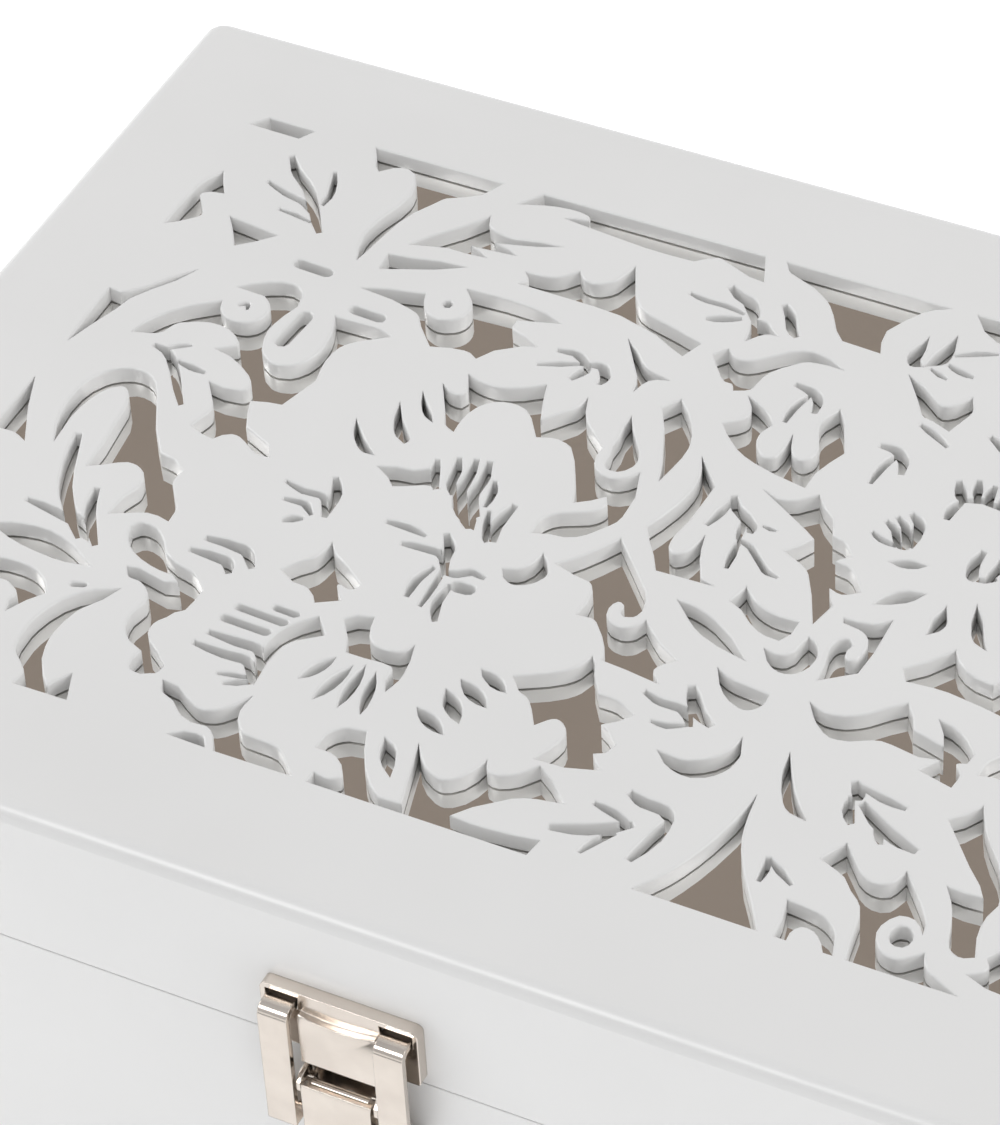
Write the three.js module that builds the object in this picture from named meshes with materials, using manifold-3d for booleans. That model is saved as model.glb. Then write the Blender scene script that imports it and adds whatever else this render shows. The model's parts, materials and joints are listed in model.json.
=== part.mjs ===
// Wedding card box: a white board box with a hinged lid, a floral fretwork window over a mirror,
// two stop hinges and a nickel-plated draw latch. Millimetres, +Z up, the front faces -Y, and the
// origin is on the ground below the middle of the whole object.

import * as THREE from 'three';
import { mergeVertices } from 'three/addons/utils/BufferGeometryUtils.js';
import Module from 'manifold-3d';

const wasm = await Module();
wasm.setup();

// ---------- driving dimensions ----------

const WIDTH = 260;
const DEPTH = 190;
const FOOT_HEIGHT = 2;
const BODY_HEIGHT = 78;
const LID_HEIGHT = 29.8;
const SEAM = 0.12;
const WALL = 9;
const PANEL = 3;
const CORNER = 4;
const EDGE_ROUND = 3;

const BODY_BOTTOM = FOOT_HEIGHT;
const BODY_TOP = BODY_BOTTOM + BODY_HEIGHT;
const LID_BOTTOM = BODY_TOP + SEAM;
const LID_TOP = LID_BOTTOM + LID_HEIGHT;
const PANEL_BOTTOM = LID_TOP - PANEL;
const FRONT = -DEPTH / 2;
const BACK = DEPTH / 2;
const INNER_X = WIDTH / 2 - WALL;
const INNER_Y = DEPTH / 2 - WALL;
const SEAM_MIDDLE = BODY_TOP + SEAM / 2;

const MIRROR = 2;
const BACKING = 2.5;
const BEAD = 5;
const BASE = 3;
const FELT = 1.5;
const FIT = 0.3;

const FOOT_RADIUS = 8;
const FOOT_INSET = 13;

const HINGE_X = 75;
const LEAF_LENGTH = 26;
const LEAF_REACH = 8.4;
const LEAF_THICK = 0.9;
const LEAF_GAP = 0.2;
const BARREL = 2.2;
const BORE = 1.2;
const HINGE_PIN = 1.0;
const HINGE_AXIS_Y = BACK + BARREL + 0.2;
const HINGE_AXIS_Z = SEAM_MIDDLE;
const SCREW_SPREAD = 7.5;
const SCREW_SHANK = 1.1;
const SCREW_HEAD = 2.1;
const SCREW_LENGTH = 8;
const KEEPER_SCREW_LENGTH = 9.7;

const LATCH_X = -4.2;
const LATCH_RISE = 1;
const KEEPER_WIDTH = 27;
const KEEPER_SHEET = 0.9;
const KEEPER_PROUD = 2.2;
const ARM_X = 9.9;
const ARM_WIDTH = 5;
const ARM_SHEET = 1.2;
const ARM_PROUD = 5.5;
const ARM_TOP = 10.4;
const HOOK_BACK = 1.0;
const LEVER_WIDTH = 12;
const EAR_INNER = LEVER_WIDTH / 2 + 0.3;
const EAR_OUTER = EAR_INNER + 0.8;
const PIVOT_Z = -6;
const PIVOT_OUT = 3.4;
const ARM_PIN_Z = -13;
const ARM_PIN_OUT = 2.6;
const LATCH_PIN = 0.9;
const PLATE_SHEET = 0.8;
const TAB_PROUD = 7.6;

// The latch stands further out in front than the hinge stops do behind, so everything moves
// back by half the difference and the origin stays below the middle of the whole object.
const STOP_REACH = 3.4;
const STOP_HALF = 0.6;
const STOP_PROUD = HINGE_AXIS_Y + STOP_REACH - BACK;
const CENTRE_SHIFT = (TAB_PROUD - STOP_PROUD) / 2;

const ARC = 6;

// ---------- materials ----------

const lacquer = { color: 0xe9e8e6, roughness: 0.38, metalness: 0 };
const mirrorGlass = { color: 0xb9b6b0, roughness: 0.04, metalness: 1 };
const board = { color: 0x9a7b58, roughness: 0.8, metalness: 0 };
const felt = { color: 0xded9d0, roughness: 0.95, metalness: 0 };
const rubber = { color: 0x4a4744, roughness: 0.85, metalness: 0 };
const nickel = { color: 0xd3cbc2, roughness: 0.24, metalness: 1 };

const box = new THREE.Group();
box.position.y = CENTRE_SHIFT;

function add(name, shape, material) {
  const geometry = shape.isBufferGeometry ? shape : toGeometry(shape);
  const mesh = new THREE.Mesh(geometry, new THREE.MeshStandardMaterial(material));
  mesh.name = name;
  box.add(mesh);
}

// ---------- solids ----------

function toSolid(geometry) {
  const bare = geometry.clone();
  bare.deleteAttribute('normal');
  bare.deleteAttribute('uv');
  const merged = mergeVertices(bare, 1e-4);
  const corners = [...merged.index.array];
  const faces = corners.filter((_, index) => {
    const [a, b, c] = corners.slice(index - (index % 3), index - (index % 3) + 3);
    return a !== b && b !== c && c !== a;
  });
  const mesh = new wasm.Mesh({
    numProp: 3,
    vertProperties: Float32Array.from(merged.attributes.position.array),
    triVerts: Uint32Array.from(faces),
  });
  return new wasm.Manifold(mesh);
}

function toGeometry(solid) {
  const mesh = solid.getMesh();
  const geometry = new THREE.BufferGeometry();
  geometry.setAttribute('position', new THREE.BufferAttribute(mesh.vertProperties, 3));
  geometry.setIndex(new THREE.BufferAttribute(mesh.triVerts, 1));
  geometry.computeVertexNormals();
  return geometry;
}

function block(x0, x1, y0, y1, z0, z1) {
  const geometry = new THREE.BoxGeometry(x1 - x0, y1 - y0, z1 - z0);
  return geometry.translate((x0 + x1) / 2, (y0 + y1) / 2, (z0 + z1) / 2);
}

function upright(shape, z0, z1) {
  const options = { depth: z1 - z0, bevelEnabled: false, curveSegments: ARC };
  return new THREE.ExtrudeGeometry(shape, options).translate(0, 0, z0);
}

// A shape drawn in (y, z), extruded along X.
function crosswise(shape, x0, x1) {
  const axes = new THREE.Matrix4().makeBasis(
    new THREE.Vector3(0, 1, 0), new THREE.Vector3(0, 0, 1), new THREE.Vector3(1, 0, 0));
  return upright(shape, x0, x1).applyMatrix4(axes);
}

// A shape drawn in (x, z), extruded towards the viewer from y1 out to y0.
function frontwise(shape, y0, y1) {
  const axes = new THREE.Matrix4().makeBasis(
    new THREE.Vector3(1, 0, 0), new THREE.Vector3(0, 0, 1), new THREE.Vector3(0, -1, 0));
  return upright(shape, -y1, -y0).applyMatrix4(axes);
}

function rodX(radius, x0, x1, y, z, sides = 16) {
  const rod = new THREE.CylinderGeometry(radius, radius, x1 - x0, sides).rotateZ(Math.PI / 2);
  return rod.translate((x0 + x1) / 2, y, z);
}

function rodZ(radius, x, y, z0, z1, sides = 12) {
  const rod = new THREE.CylinderGeometry(radius, radius, z1 - z0, sides).rotateX(Math.PI / 2);
  return rod.translate(x, y, (z0 + z1) / 2);
}

function join(...geometries) {
  return geometries.map(toSolid).reduce((whole, piece) => whole.add(piece));
}

function cut(geometry, ...tools) {
  return toSolid(geometry).subtract(join(...tools));
}

function polygon(points) {
  return new THREE.Shape(points.map(([x, y]) => new THREE.Vector2(x, y)));
}

// A plate outline with its own radius at each corner, anticlockwise from the lower left.
function roundedPlate(x0, y0, x1, y1, radii) {
  const [lowerLeft, lowerRight, upperRight, upperLeft] = radii;
  const shape = new THREE.Shape().moveTo(x0, y0 + lowerLeft);
  const quarter = Math.PI / 2;
  const corner = (x, y, radius, start) => {
    if (radius > 0) shape.absarc(x, y, radius, start, start + quarter, false);
    else shape.lineTo(x, y);
  };
  corner(x0 + lowerLeft, y0 + lowerLeft, lowerLeft, 2 * quarter);
  corner(x1 - lowerRight, y0 + lowerRight, lowerRight, 3 * quarter);
  corner(x1 - upperRight, y1 - upperRight, upperRight, 0);
  corner(x0 + upperLeft, y1 - upperLeft, upperLeft, quarter);
  return shape;
}

// A turned piece with a vertical axis, from a profile of [radius, height] that closes on the axis.
function turned(profile, x, y, sides = 20) {
  const points = profile.map(([radius, height]) => new THREE.Vector2(radius, height));
  return new THREE.LatheGeometry(points, sides).rotateX(Math.PI / 2).translate(x, y, 0);
}

// ---------- fretwork outlines ----------
// A cut-out is a closed list of [x, y] points on the lid, measured from its middle. The outline
// runs smoothly through them, except at a point marked K, where it turns sharply.

const K = true;
const SMOOTHNESS = 0.1;

function smoothRun(points) {
  if (points.length === 2) return [points[0].slice(0, 2)];
  const curve = new THREE.CatmullRomCurve3(
    points.map(([x, y]) => new THREE.Vector3(x, y, 0)), false, 'centripetal');
  const samples = curve.getPoints((points.length - 1) * 8);
  return thinned(samples.map((p) => [p.x, p.y])).slice(0, -1);
}

// Keeps only the points that the line needs to stay within SMOOTHNESS of the curve.
function thinned(points) {
  const [first, last] = [points[0], points[points.length - 1]];
  const [dx, dy] = [last[0] - first[0], last[1] - first[1]];
  const length = Math.hypot(dx, dy) || 1;
  let worst = 0;
  let place = 0;
  points.forEach(([x, y], index) => {
    const offset = Math.abs(dx * (y - first[1]) - dy * (x - first[0])) / length;
    if (offset > worst) {
      worst = offset;
      place = index;
    }
  });
  if (worst < SMOOTHNESS) return [first, last];
  return [...thinned(points.slice(0, place + 1)).slice(0, -1), ...thinned(points.slice(place))];
}

function gap(points) {
  const start = points.findIndex((point) => point[2] === K);
  const turnedList = [...points.slice(start), ...points.slice(0, start), points[start]];
  const outline = [];
  let run = [turnedList[0]];
  turnedList.slice(1).forEach((point) => {
    run.push(point);
    if (point[2] === K) {
      outline.push(...smoothRun(run));
      run = [point];
    }
  });
  return outline;
}

// A slit along a smooth line, widest in the middle and narrow at both ends.
function slit(width, points) {
  const curve = new THREE.CatmullRomCurve3(
    points.map(([x, y]) => new THREE.Vector3(x, y, 0)), false, 'centripetal');
  const steps = 3 * (points.length - 1) + 2;
  const left = [];
  const right = [];
  for (let step = 0; step <= steps; step += 1) {
    const t = step / steps;
    const middle = curve.getPoint(t);
    const along = curve.getTangent(t);
    const half = (width / 2) * Math.sin(Math.PI * (0.1 + 0.8 * t)) ** 0.6;
    left.push([middle.x - along.y * half, middle.y + along.x * half]);
    right.unshift([middle.x + along.y * half, middle.y - along.x * half]);
  }
  return [...thinned(left), ...thinned(right)];
}

// A petal slit: pointed at both ends, its sides two arcs, bulging more to one side by bend.
function petal(x0, y0, x1, y1, width, bend = 0) {
  const [dx, dy] = [x1 - x0, y1 - y0];
  const length = Math.hypot(dx, dy);
  const side = (amount) => [(-dy / length) * amount, (dx / length) * amount];
  const steps = 5;
  const edge = (bulge) => Array.from({ length: steps }, (_, step) => {
    const t = step / steps;
    const [sx, sy] = side(4 * bulge * t * (1 - t));
    return [x0 + dx * t + sx, y0 + dy * t + sy];
  });
  const left = edge(width / 2 + bend);
  const right = edge(bend - width / 2).slice(1).reverse();
  return [...left, [x1, y1], ...right];
}

// A straight slot with round ends.
function slot(x0, y0, x1, y1, width) {
  const angle = Math.atan2(y1 - y0, x1 - x0);
  const end = (x, y, start) => Array.from({ length: 5 }, (_, step) => {
    const turn = start + (step * Math.PI) / 4;
    return [x + (width / 2) * Math.cos(turn), y + (width / 2) * Math.sin(turn)];
  });
  return [...end(x0, y0, angle + Math.PI / 2), ...end(x1, y1, angle - Math.PI / 2)];
}

function eyelet(x, y, radius) {
  return Array.from({ length: 8 }, (_, step) => {
    const turn = (step * Math.PI) / 4;
    return [x + radius * Math.cos(turn), y + radius * Math.sin(turn)];
  });
}

function moved(cuts, dx, dy) {
  return cuts.map((outline) => outline.map(([x, y]) => [x + dx, y + dy]));
}

function mirrored(cuts, about = 0) {
  return cuts.map((outline) => outline.map(([x, y]) => [2 * about - x, y]).reverse());
}

function flipped(cuts, about = 0) {
  return cuts.map((outline) => outline.map(([x, y]) => [x, 2 * about - y]).reverse());
}

// ---------- fretwork, region by region ----------

// The first four gaps of the rear border, between the frame and the outermost leaves.
function rearBorderEnd() {
  return [
    gap([[-108.3, 69.4, K], [-106, 72.3, K], [-96.8, 72, K], [-98.6, 69.2, K]]),
    gap([[-84.7, 72.2, K], [-83.3, 69.8], [-82.2, 67.5], [-81.2, 66.6, K], [-79, 68.7], [-77.2, 69.3],
      [-74.9, 68.4, K], [-73.6, 66], [-73, 63], [-73.3, 60], [-74.7, 55.5], [-75.4, 51], [-75, 47.5],
      [-73.4, 43.3, K], [-72.9, 46.5], [-72.4, 51], [-71.6, 55.5], [-70.3, 59], [-68.4, 62.3, K],
      [-67, 64.6], [-64, 66.3], [-61.5, 68.3], [-59.6, 72.2, K]]),
  ];
}

function rearBorderMiddle() {
  return [
    gap([[-54.8, 68, K], [-51.7, 72.2, K], [-9.6, 72.2, K], [-8.2, 68.8], [-7.1, 65.9, K],
      [-10, 66.3], [-14.6, 68.1, K], [-16.6, 68.8], [-18.8, 67.6], [-20.3, 66.2, K], [-25, 66.1],
      [-31, 66.3], [-37, 67], [-40.6, 67.3, K], [-43, 67.4], [-45.6, 67.7, K], [-43.6, 68.4],
      [-41.4, 68.7, K], [-41.7, 69.8], [-43.2, 70.4], [-46, 70.5], [-50, 69.8]]),
    gap([[-5.5, 72.2, K], [24.8, 72, K], [21.8, 70.4], [19.8, 68], [18.2, 65], [17.1, 62.3, K],
      [17.3, 59.5], [18.3, 56.8, K], [11.3, 57.2, K], [9.3, 59.3], [7.2, 62.8], [4.9, 65.6],
      [1.8, 67.6], [-1.5, 69.1], [-4, 70.1]]),
  ];
}

function rearBorderRight() {
  return [
    gap([[29.5, 72.2, K], [56, 72.2, K], [53, 69.5], [49, 67.8], [44, 67.5], [40, 68.6, K],
      [36, 67], [32.5, 68.6]]),
  ];
}

// A small corner flower: four curved petals and the two gaps beside it.
function cornerPetals() {
  return [
    slit(2, [[-97.3, 64.3], [-94.6, 60.8], [-90.6, 57.6], [-87.3, 53.6], [-85, 50], [-82.9, 47.4]]),
    slit(1.3, [[-97.8, 56.4], [-93.5, 54.7], [-89.5, 53.7], [-86.8, 51.6]]),
    slit(1.1, [[-92.4, 50.4], [-89, 50], [-85.5, 49.2]]),
    slit(1.3, [[-88.2, 63.3], [-86.9, 60.3], [-86, 57.2], [-86, 54.2]]),
  ];
}

function cornerHook() {
  return [
    gap([[-106.4, 55.6, K], [-105, 53], [-103.3, 50.4, K], [-105.6, 50], [-107.1, 48.6],
      [-106, 46.9], [-104.2, 43.8], [-105.1, 42.2], [-107.2, 40.3], [-108.9, 39.2, K],
      [-108.8, 46], [-108.2, 51.5]]),
  ];
}

function rearLeftLeaves() {
  return [
    gap([[-99.3, 45.2, K], [-96.8, 41.8], [-94.8, 38.6, K], [-92, 40.7], [-89.2, 43.9, K],
      [-93.5, 44.5]]),
    slot(-82, 38.7, -76.6, 38.4, 2.2),
    gap([[-67, 50.8, K], [-64.4, 54.5], [-60.5, 59], [-57.7, 63.2, K], [-56.4, 60.5], [-52, 59.2],
      [-46.5, 60.2], [-42.2, 60.7, K], [-46, 59.1], [-51, 57.6], [-53.8, 56.9, K], [-50.5, 56.2],
      [-48.6, 55.3, K], [-52.5, 54.9], [-57.2, 54.6, K], [-55, 53.8], [-53, 52.8, K], [-57, 52.6],
      [-60.5, 52.7], [-64, 51.6]]),
    gap([[-69.2, 47, K], [-68.8, 42.8, K], [-65.5, 44.3], [-60, 46.6], [-55, 49.3, K],
      [-60, 48.9], [-65, 47.7]]),
  ];
}

// The gap that curls round the rear-left knob.
function rearLeftCurl() {
  return [
    slot(-67.6, 31.6, -62.6, 31.3, 2),
    gap([[-69.3, 37.1, K], [-65.5, 38.5], [-61.5, 39.5], [-58.6, 40.2, K], [-57.7, 37.8],
      [-56.4, 36], [-54, 35], [-51.7, 35.5], [-50, 37], [-49.5, 39.1], [-50.2, 41.4],
      [-52.6, 44, K], [-48.5, 44.2], [-43, 44.3], [-38, 43.8], [-33.8, 42.3, K], [-37.8, 41.2],
      [-41.2, 40.2, K], [-41, 37.9], [-38, 36.8], [-34.8, 35.2, K], [-37.3, 34.6],
      [-39.3, 33.1, K], [-41.3, 31.6], [-43.1, 28.6, K], [-44.8, 29.6], [-47.5, 29.5],
      [-50, 28.8], [-51.6, 28.3, K], [-53.2, 30], [-55.4, 32.4], [-57.3, 34.9], [-60.5, 36],
      [-64, 36.7]]),
    eyelet(-53.8, 39.2, 0.9),
  ];
}

// The long gap on the left that wraps two lobes and a knob.
function leftLobes() {
  return [
    gap([[-99.8, 11.3, K], [-98.8, 14.5], [-96.3, 18.8], [-93, 22], [-89.6, 24.6, K],
      [-88.9, 22.7], [-87.2, 21.2], [-85, 20.7], [-82.6, 21.4], [-81.1, 23.2], [-80.9, 25.6],
      [-81.8, 27.4], [-83.4, 28.6, K], [-88.8, 28.9, K], [-86.5, 30.8], [-83, 32.8],
      [-80.3, 33.3], [-78, 31.8], [-77, 28.3, K], [-78.2, 25], [-78.7, 21.5], [-78.2, 18.3],
      [-76.7, 15.3], [-74, 13.7], [-71, 14.2], [-68.9, 16.5], [-67.9, 20], [-68.3, 24.5],
      [-69.9, 28.8, K], [-66, 28.9], [-62, 28.9], [-58.7, 27.9, K], [-61, 26.2], [-63.4, 24.6],
      [-65.4, 22.2], [-66.1, 19], [-65.9, 16], [-65.2, 12.8, K], [-66.3, 9.5], [-67.5, 5.2, K],
      [-70, 4.8], [-72.9, 3.9, K], [-71.9, 1.2], [-70.3, -2.2, K], [-67.3, -3.6], [-64.6, -4.9],
      [-63.3, -7.2, K], [-65.5, -7.3], [-68.7, -5.4, K], [-70, -4.7], [-71.6, -4.6], [-73, -5.5],
      [-74, -6.9, K], [-76, -6.6], [-78.8, -5.5, K], [-78, -3], [-77.6, -0.5], [-79.3, 2.5],
      [-81.5, 5.4, K], [-79, 5], [-76.7, 5.2], [-75, 5.6], [-74.4, 7], [-75.6, 9], [-78, 10.9],
      [-81, 12.4], [-84.5, 13.2, K], [-82.5, 14.6], [-81.4, 15.6], [-83, 17.6], [-86, 18.9],
      [-89, 18.9], [-91.7, 17.8], [-94, 16.2], [-95.2, 13.3]]),
    slot(-74.5, 26.6, -75.1, 19.4, 2.6),
    slit(0.9, [[-86.4, 24.8], [-85.2, 25.6], [-84.5, 24.3]]),
  ];
}

function sideCrescents() {
  return [
    gap([[-108.6, 5, K], [-108.9, 12], [-109, 20, K], [-106.5, 19.8], [-103.5, 22.5],
      [-100.5, 26.5], [-97.3, 30.3, K], [-99.5, 26.3], [-102.3, 22.5], [-104.6, 18.5],
      [-105.2, 16], [-106.8, 11.5]]),
    gap([[-109, -5.3, K], [-107.6, -8.8], [-106.3, -12.2], [-104.6, -15.6], [-102.4, -20, K],
      [-105, -18.7], [-109, -18.9, K]]),
  ];
}

function sideLeaf() {
  return [
    slit(1.7, [[-94.6, 9.9], [-91.8, 9.3], [-88.8, 6.4], [-86, 2.4], [-82.9, -1.7]]),
    slit(1.4, [[-88.9, 7.9], [-86, 7.4], [-83.2, 7.1]]),
    slit(1, [[-92, 10], [-90.5, 11.3], [-88.6, 12.3]]),
    gap([[-97.8, -18.2, K], [-99.8, -13.5], [-100.8, -8], [-100.2, -2.5], [-98, 1.2],
      [-94.3, 3.2], [-90.8, 2.4], [-88.3, -0.5], [-86.3, -4.3], [-83.5, -9.2], [-80.2, -13.6, K],
      [-77.2, -14.2], [-74.7, -16, K], [-74.9, -18.8], [-73, -21.6], [-71.2, -24.5],
      [-70.8, -27.6, K], [-73, -27], [-75.2, -27.2], [-77.7, -28.3], [-80.7, -29.8, K],
      [-80.3, -25.5], [-79.2, -22], [-80.2, -19], [-82.6, -17.6], [-85.2, -18.2],
      [-87.5, -19.8], [-89.8, -21.2, K], [-89.9, -16], [-90.7, -9.5], [-91.6, -4], [-93.8, -1.4],
      [-96, -2.6], [-97.6, -6], [-98.4, -11]]),
    slit(2.2, [[-95, -14.8], [-93.3, -20.5], [-90.5, -27], [-86.5, -32.3], [-82.2, -36.9]]),
    slit(1.9, [[-85.5, -25.3], [-84.3, -29.5], [-82, -33.5], [-78.9, -37.4]]),
    slit(1.7, [[-94.8, -32.2], [-91.5, -32.5], [-88, -33.2], [-85, -34.3]]),
    petal(-86.5, -31.5, -80.5, -37, 2.4),
  ];
}

function frontLeftLens() {
  return [
    gap([[-97.5, -39.6, K], [-93, -37.8], [-88, -37.2], [-83, -38.6], [-77, -42, K],
      [-81.5, -42.7], [-88, -42.3], [-93.5, -41.1]]),
  ];
}

function frontLeftLeaves() {
  return [
    gap([[-95, -47, K], [-90, -45.8], [-85, -46.3], [-82, -48.3], [-80.6, -50.3, K],
      [-82.7, -53], [-84.4, -56.6, K], [-85.2, -54], [-84.8, -52.3], [-87.5, -50.3],
      [-91, -50.2]]),
    slot(-77.6, -46.8, -75.9, -46.2, 1),
    gap([[-70, -44.6, K], [-71.5, -48], [-73.7, -51.3], [-74.7, -55], [-74.8, -59.5],
      [-73.7, -63.3], [-71.6, -66.8], [-69.6, -69, K], [-69, -67.2], [-67.4, -64.6, K],
      [-66.3, -67.5], [-65.2, -70.2, K], [-74.9, -70.2, K], [-74.6, -67.5], [-76.4, -65.4, K],
      [-78.4, -63.5], [-79.3, -59.5], [-78.8, -54.5], [-77, -50], [-74, -46.8]]),
    slit(1.5, [[-103, -58.5], [-97, -58], [-91.5, -59]]),
    slit(1.6, [[-101, -64], [-96, -61.5], [-91.5, -60]]),
    slit(1.4, [[-95, -67], [-93, -63.5], [-90.5, -60.5]]),
    gap([[-91.5, -70.4, K], [-89, -67.5], [-86, -64.5], [-84, -63.5, K], [-82.5, -67],
      [-80.5, -70.4, K]]),
  ];
}

function frontLeftScroll() {
  return [
    gap([[-75.8, -31, K], [-74.6, -29.6], [-71.8, -29.9], [-69.3, -32], [-67.5, -34.4],
      [-64.8, -35.8], [-61, -36.8], [-57.8, -39.6, K], [-57.9, -42.3], [-58.2, -44.7, K],
      [-59.5, -45.9], [-60.1, -47.3, K], [-61.2, -49], [-61.3, -51], [-60, -53.2],
      [-57.6, -54.9], [-54.9, -57.3, K], [-55.5, -59.2], [-57.6, -60.3, K], [-59.6, -60],
      [-60.3, -58.2], [-60, -55.6, K], [-62.8, -54.4], [-64.9, -52], [-65.5, -48.8],
      [-64.8, -45.8], [-65.8, -43.3], [-68, -41.8], [-70.3, -41.5], [-71.7, -39.6, K],
      [-69.8, -39.2], [-67, -39.7], [-64.5, -40.3], [-62.2, -39.6, K], [-63.8, -38.4],
      [-66.5, -38.2], [-70, -37.3], [-73, -35.7], [-75, -33.3]]),
    slit(2, [[-63.3, -28.6], [-59, -28.3], [-55.6, -28.9], [-53, -32]]),
    slit(2, [[-64.4, -32], [-60.5, -31.8], [-57.3, -32.3], [-55.8, -34.6]]),
    slit(2, [[-50.8, -7.2], [-49, -10.3], [-48.5, -13.5], [-48, -16.6]]),
    slit(1.4, [[-57.9, -11.3], [-54.5, -12.2], [-50.5, -12.2], [-48.5, -15.8]]),
    slit(1.3, [[-56.2, -15.2], [-52.5, -14.9], [-50.2, -16.8]]),
    slit(1.6, [[-53.9, -19.9], [-52.6, -18.9], [-51, -18.2]]),
    slot(-45, -38.4, -41.4, -38.6, 1.3),
    slot(-50.4, -40.7, -42.3, -41, 1.6),
    slot(-51.4, -43.8, -43.8, -44, 1.6),
    gap([[-37.8, -37.4, K], [-35, -40.8, K], [-36.7, -42.2], [-38.9, -43.9], [-40.1, -46.5],
      [-40.4, -50.5], [-39.9, -55.4, K], [-41.6, -52.8], [-42.5, -49.5], [-42.5, -46],
      [-41.9, -43], [-40.2, -40]]),
    slit(1.9, [[-52.4, -47.6], [-47.5, -47.8], [-43.3, -47.9], [-41, -50.8]]),
    slit(1.9, [[-53.4, -50.6], [-48, -51], [-43.5, -51], [-40.6, -54.8]]),
    slit(1.2, [[-46.5, -55.4], [-43.5, -54.6], [-41, -54.3]]),
    slit(1.3, [[-44.5, -57], [-42.5, -55.9], [-40.3, -55]]),
    gap([[-44, -21.3, K], [-42.3, -23.6], [-39.3, -25.3], [-35.2, -28.3, K], [-36, -29.8],
      [-38.6, -29.6], [-37.7, -31.2], [-36.2, -32.7, K], [-38, -33.7], [-40, -34.8, K],
      [-41.2, -33.2], [-43, -32.1], [-45.5, -31.9], [-48.5, -30.2, K], [-46.6, -27.5],
      [-44.7, -25.3]]),
  ];
}

// The large flower left of the middle.
function leftFlower() {
  return [
    gap([[-54.4, 6.9, K], [-51.5, 3.6], [-49.3, 1.6], [-47.3, 0, K], [-49.8, 0.2], [-52, 2],
      [-53.6, 4.4]]),
    gap([[-49.7, 13.6, K], [-47.6, 10.2], [-45.4, 7.6], [-44, 6], [-44.2, 4.5, K], [-46.6, 6],
      [-48.5, 8.8], [-49.3, 11.3]]),
    gap([[-47.5, 17.6, K], [-45.4, 15], [-43.2, 12.6], [-42.4, 11.2, K], [-44.5, 12.3],
      [-46.4, 14.8]]),
    gap([[-42.4, 24.4, K], [-40, 23.6], [-36.5, 23.4], [-32.5, 24.9], [-29.2, 27.3, K],
      [-27.9, 23], [-26.3, 18.8, K], [-24, 21.6], [-22, 24.4], [-21.5, 27, K], [-20.5, 24],
      [-19, 21.4], [-16.8, 19.5], [-14, 16.9, K], [-14.1, 14.6], [-13.2, 12.2], [-11.3, 10.8],
      [-9, 10.7], [-7.2, 11.8], [-5.7, 13.7, K], [-4.9, 11], [-4, 8.6], [-3.9, 5], [-4, 2],
      [-6.2, -1.5], [-8, -3.8], [-10.3, -5], [-13, -5.3], [-15.6, -6.3, K], [-15.5, -3],
      [-14, -0.7], [-11, 0.9], [-8.6, 2.3], [-7.3, 4.6], [-8.2, 6.5, K], [-10.2, 4.6],
      [-12.5, 3, K], [-13.6, 6], [-15.6, 10], [-17.3, 13], [-19.2, 15.2], [-22, 15.9],
      [-25.1, 14.9, K], [-26.7, 17.2], [-28.6, 19.5], [-31, 20.8], [-34, 20.6], [-36.6, 18.9],
      [-38, 16], [-38.4, 13], [-38.1, 10.4, K], [-40, 11.4], [-42, 15], [-43.8, 18],
      [-45.3, 20.6, K], [-43.3, 19.2], [-41.2, 19.2], [-40.6, 20.6, K], [-41.6, 22.6]]),
    gap([[-12.9, 25.7, K], [-11.3, 22.8], [-9.2, 20], [-7.8, 17.8], [-7.3, 15.6], [-7.9, 13.8],
      [-9.4, 12.5], [-11, 12.5], [-12, 13.8], [-12.1, 15.9, K], [-12.6, 17.8], [-12.5, 20.5],
      [-13, 23]]),
    gap([[-45.8, -2.1, K], [-42.8, -1], [-39.8, -0.6], [-37.3, 0.8], [-35.5, -1.3],
      [-33.6, -3, K], [-36.8, -3], [-39.3, -4.4], [-41.3, -5.3, K], [-42.7, -3.8]]),
    ...leftFlowerHeart(),
    slit(1.6, [[-38.3, -13.3], [-34.5, -13.2], [-30.8, -13.9]]),
    gap([[-16.1, -15.7, K], [-13.6, -14.8], [-12.2, -12.8], [-11.7, -9.9, K], [-10, -11.8],
      [-9, -14.3], [-10.3, -16.9], [-13, -18.3], [-15.1, -17.4]]),
  ];
}

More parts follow.
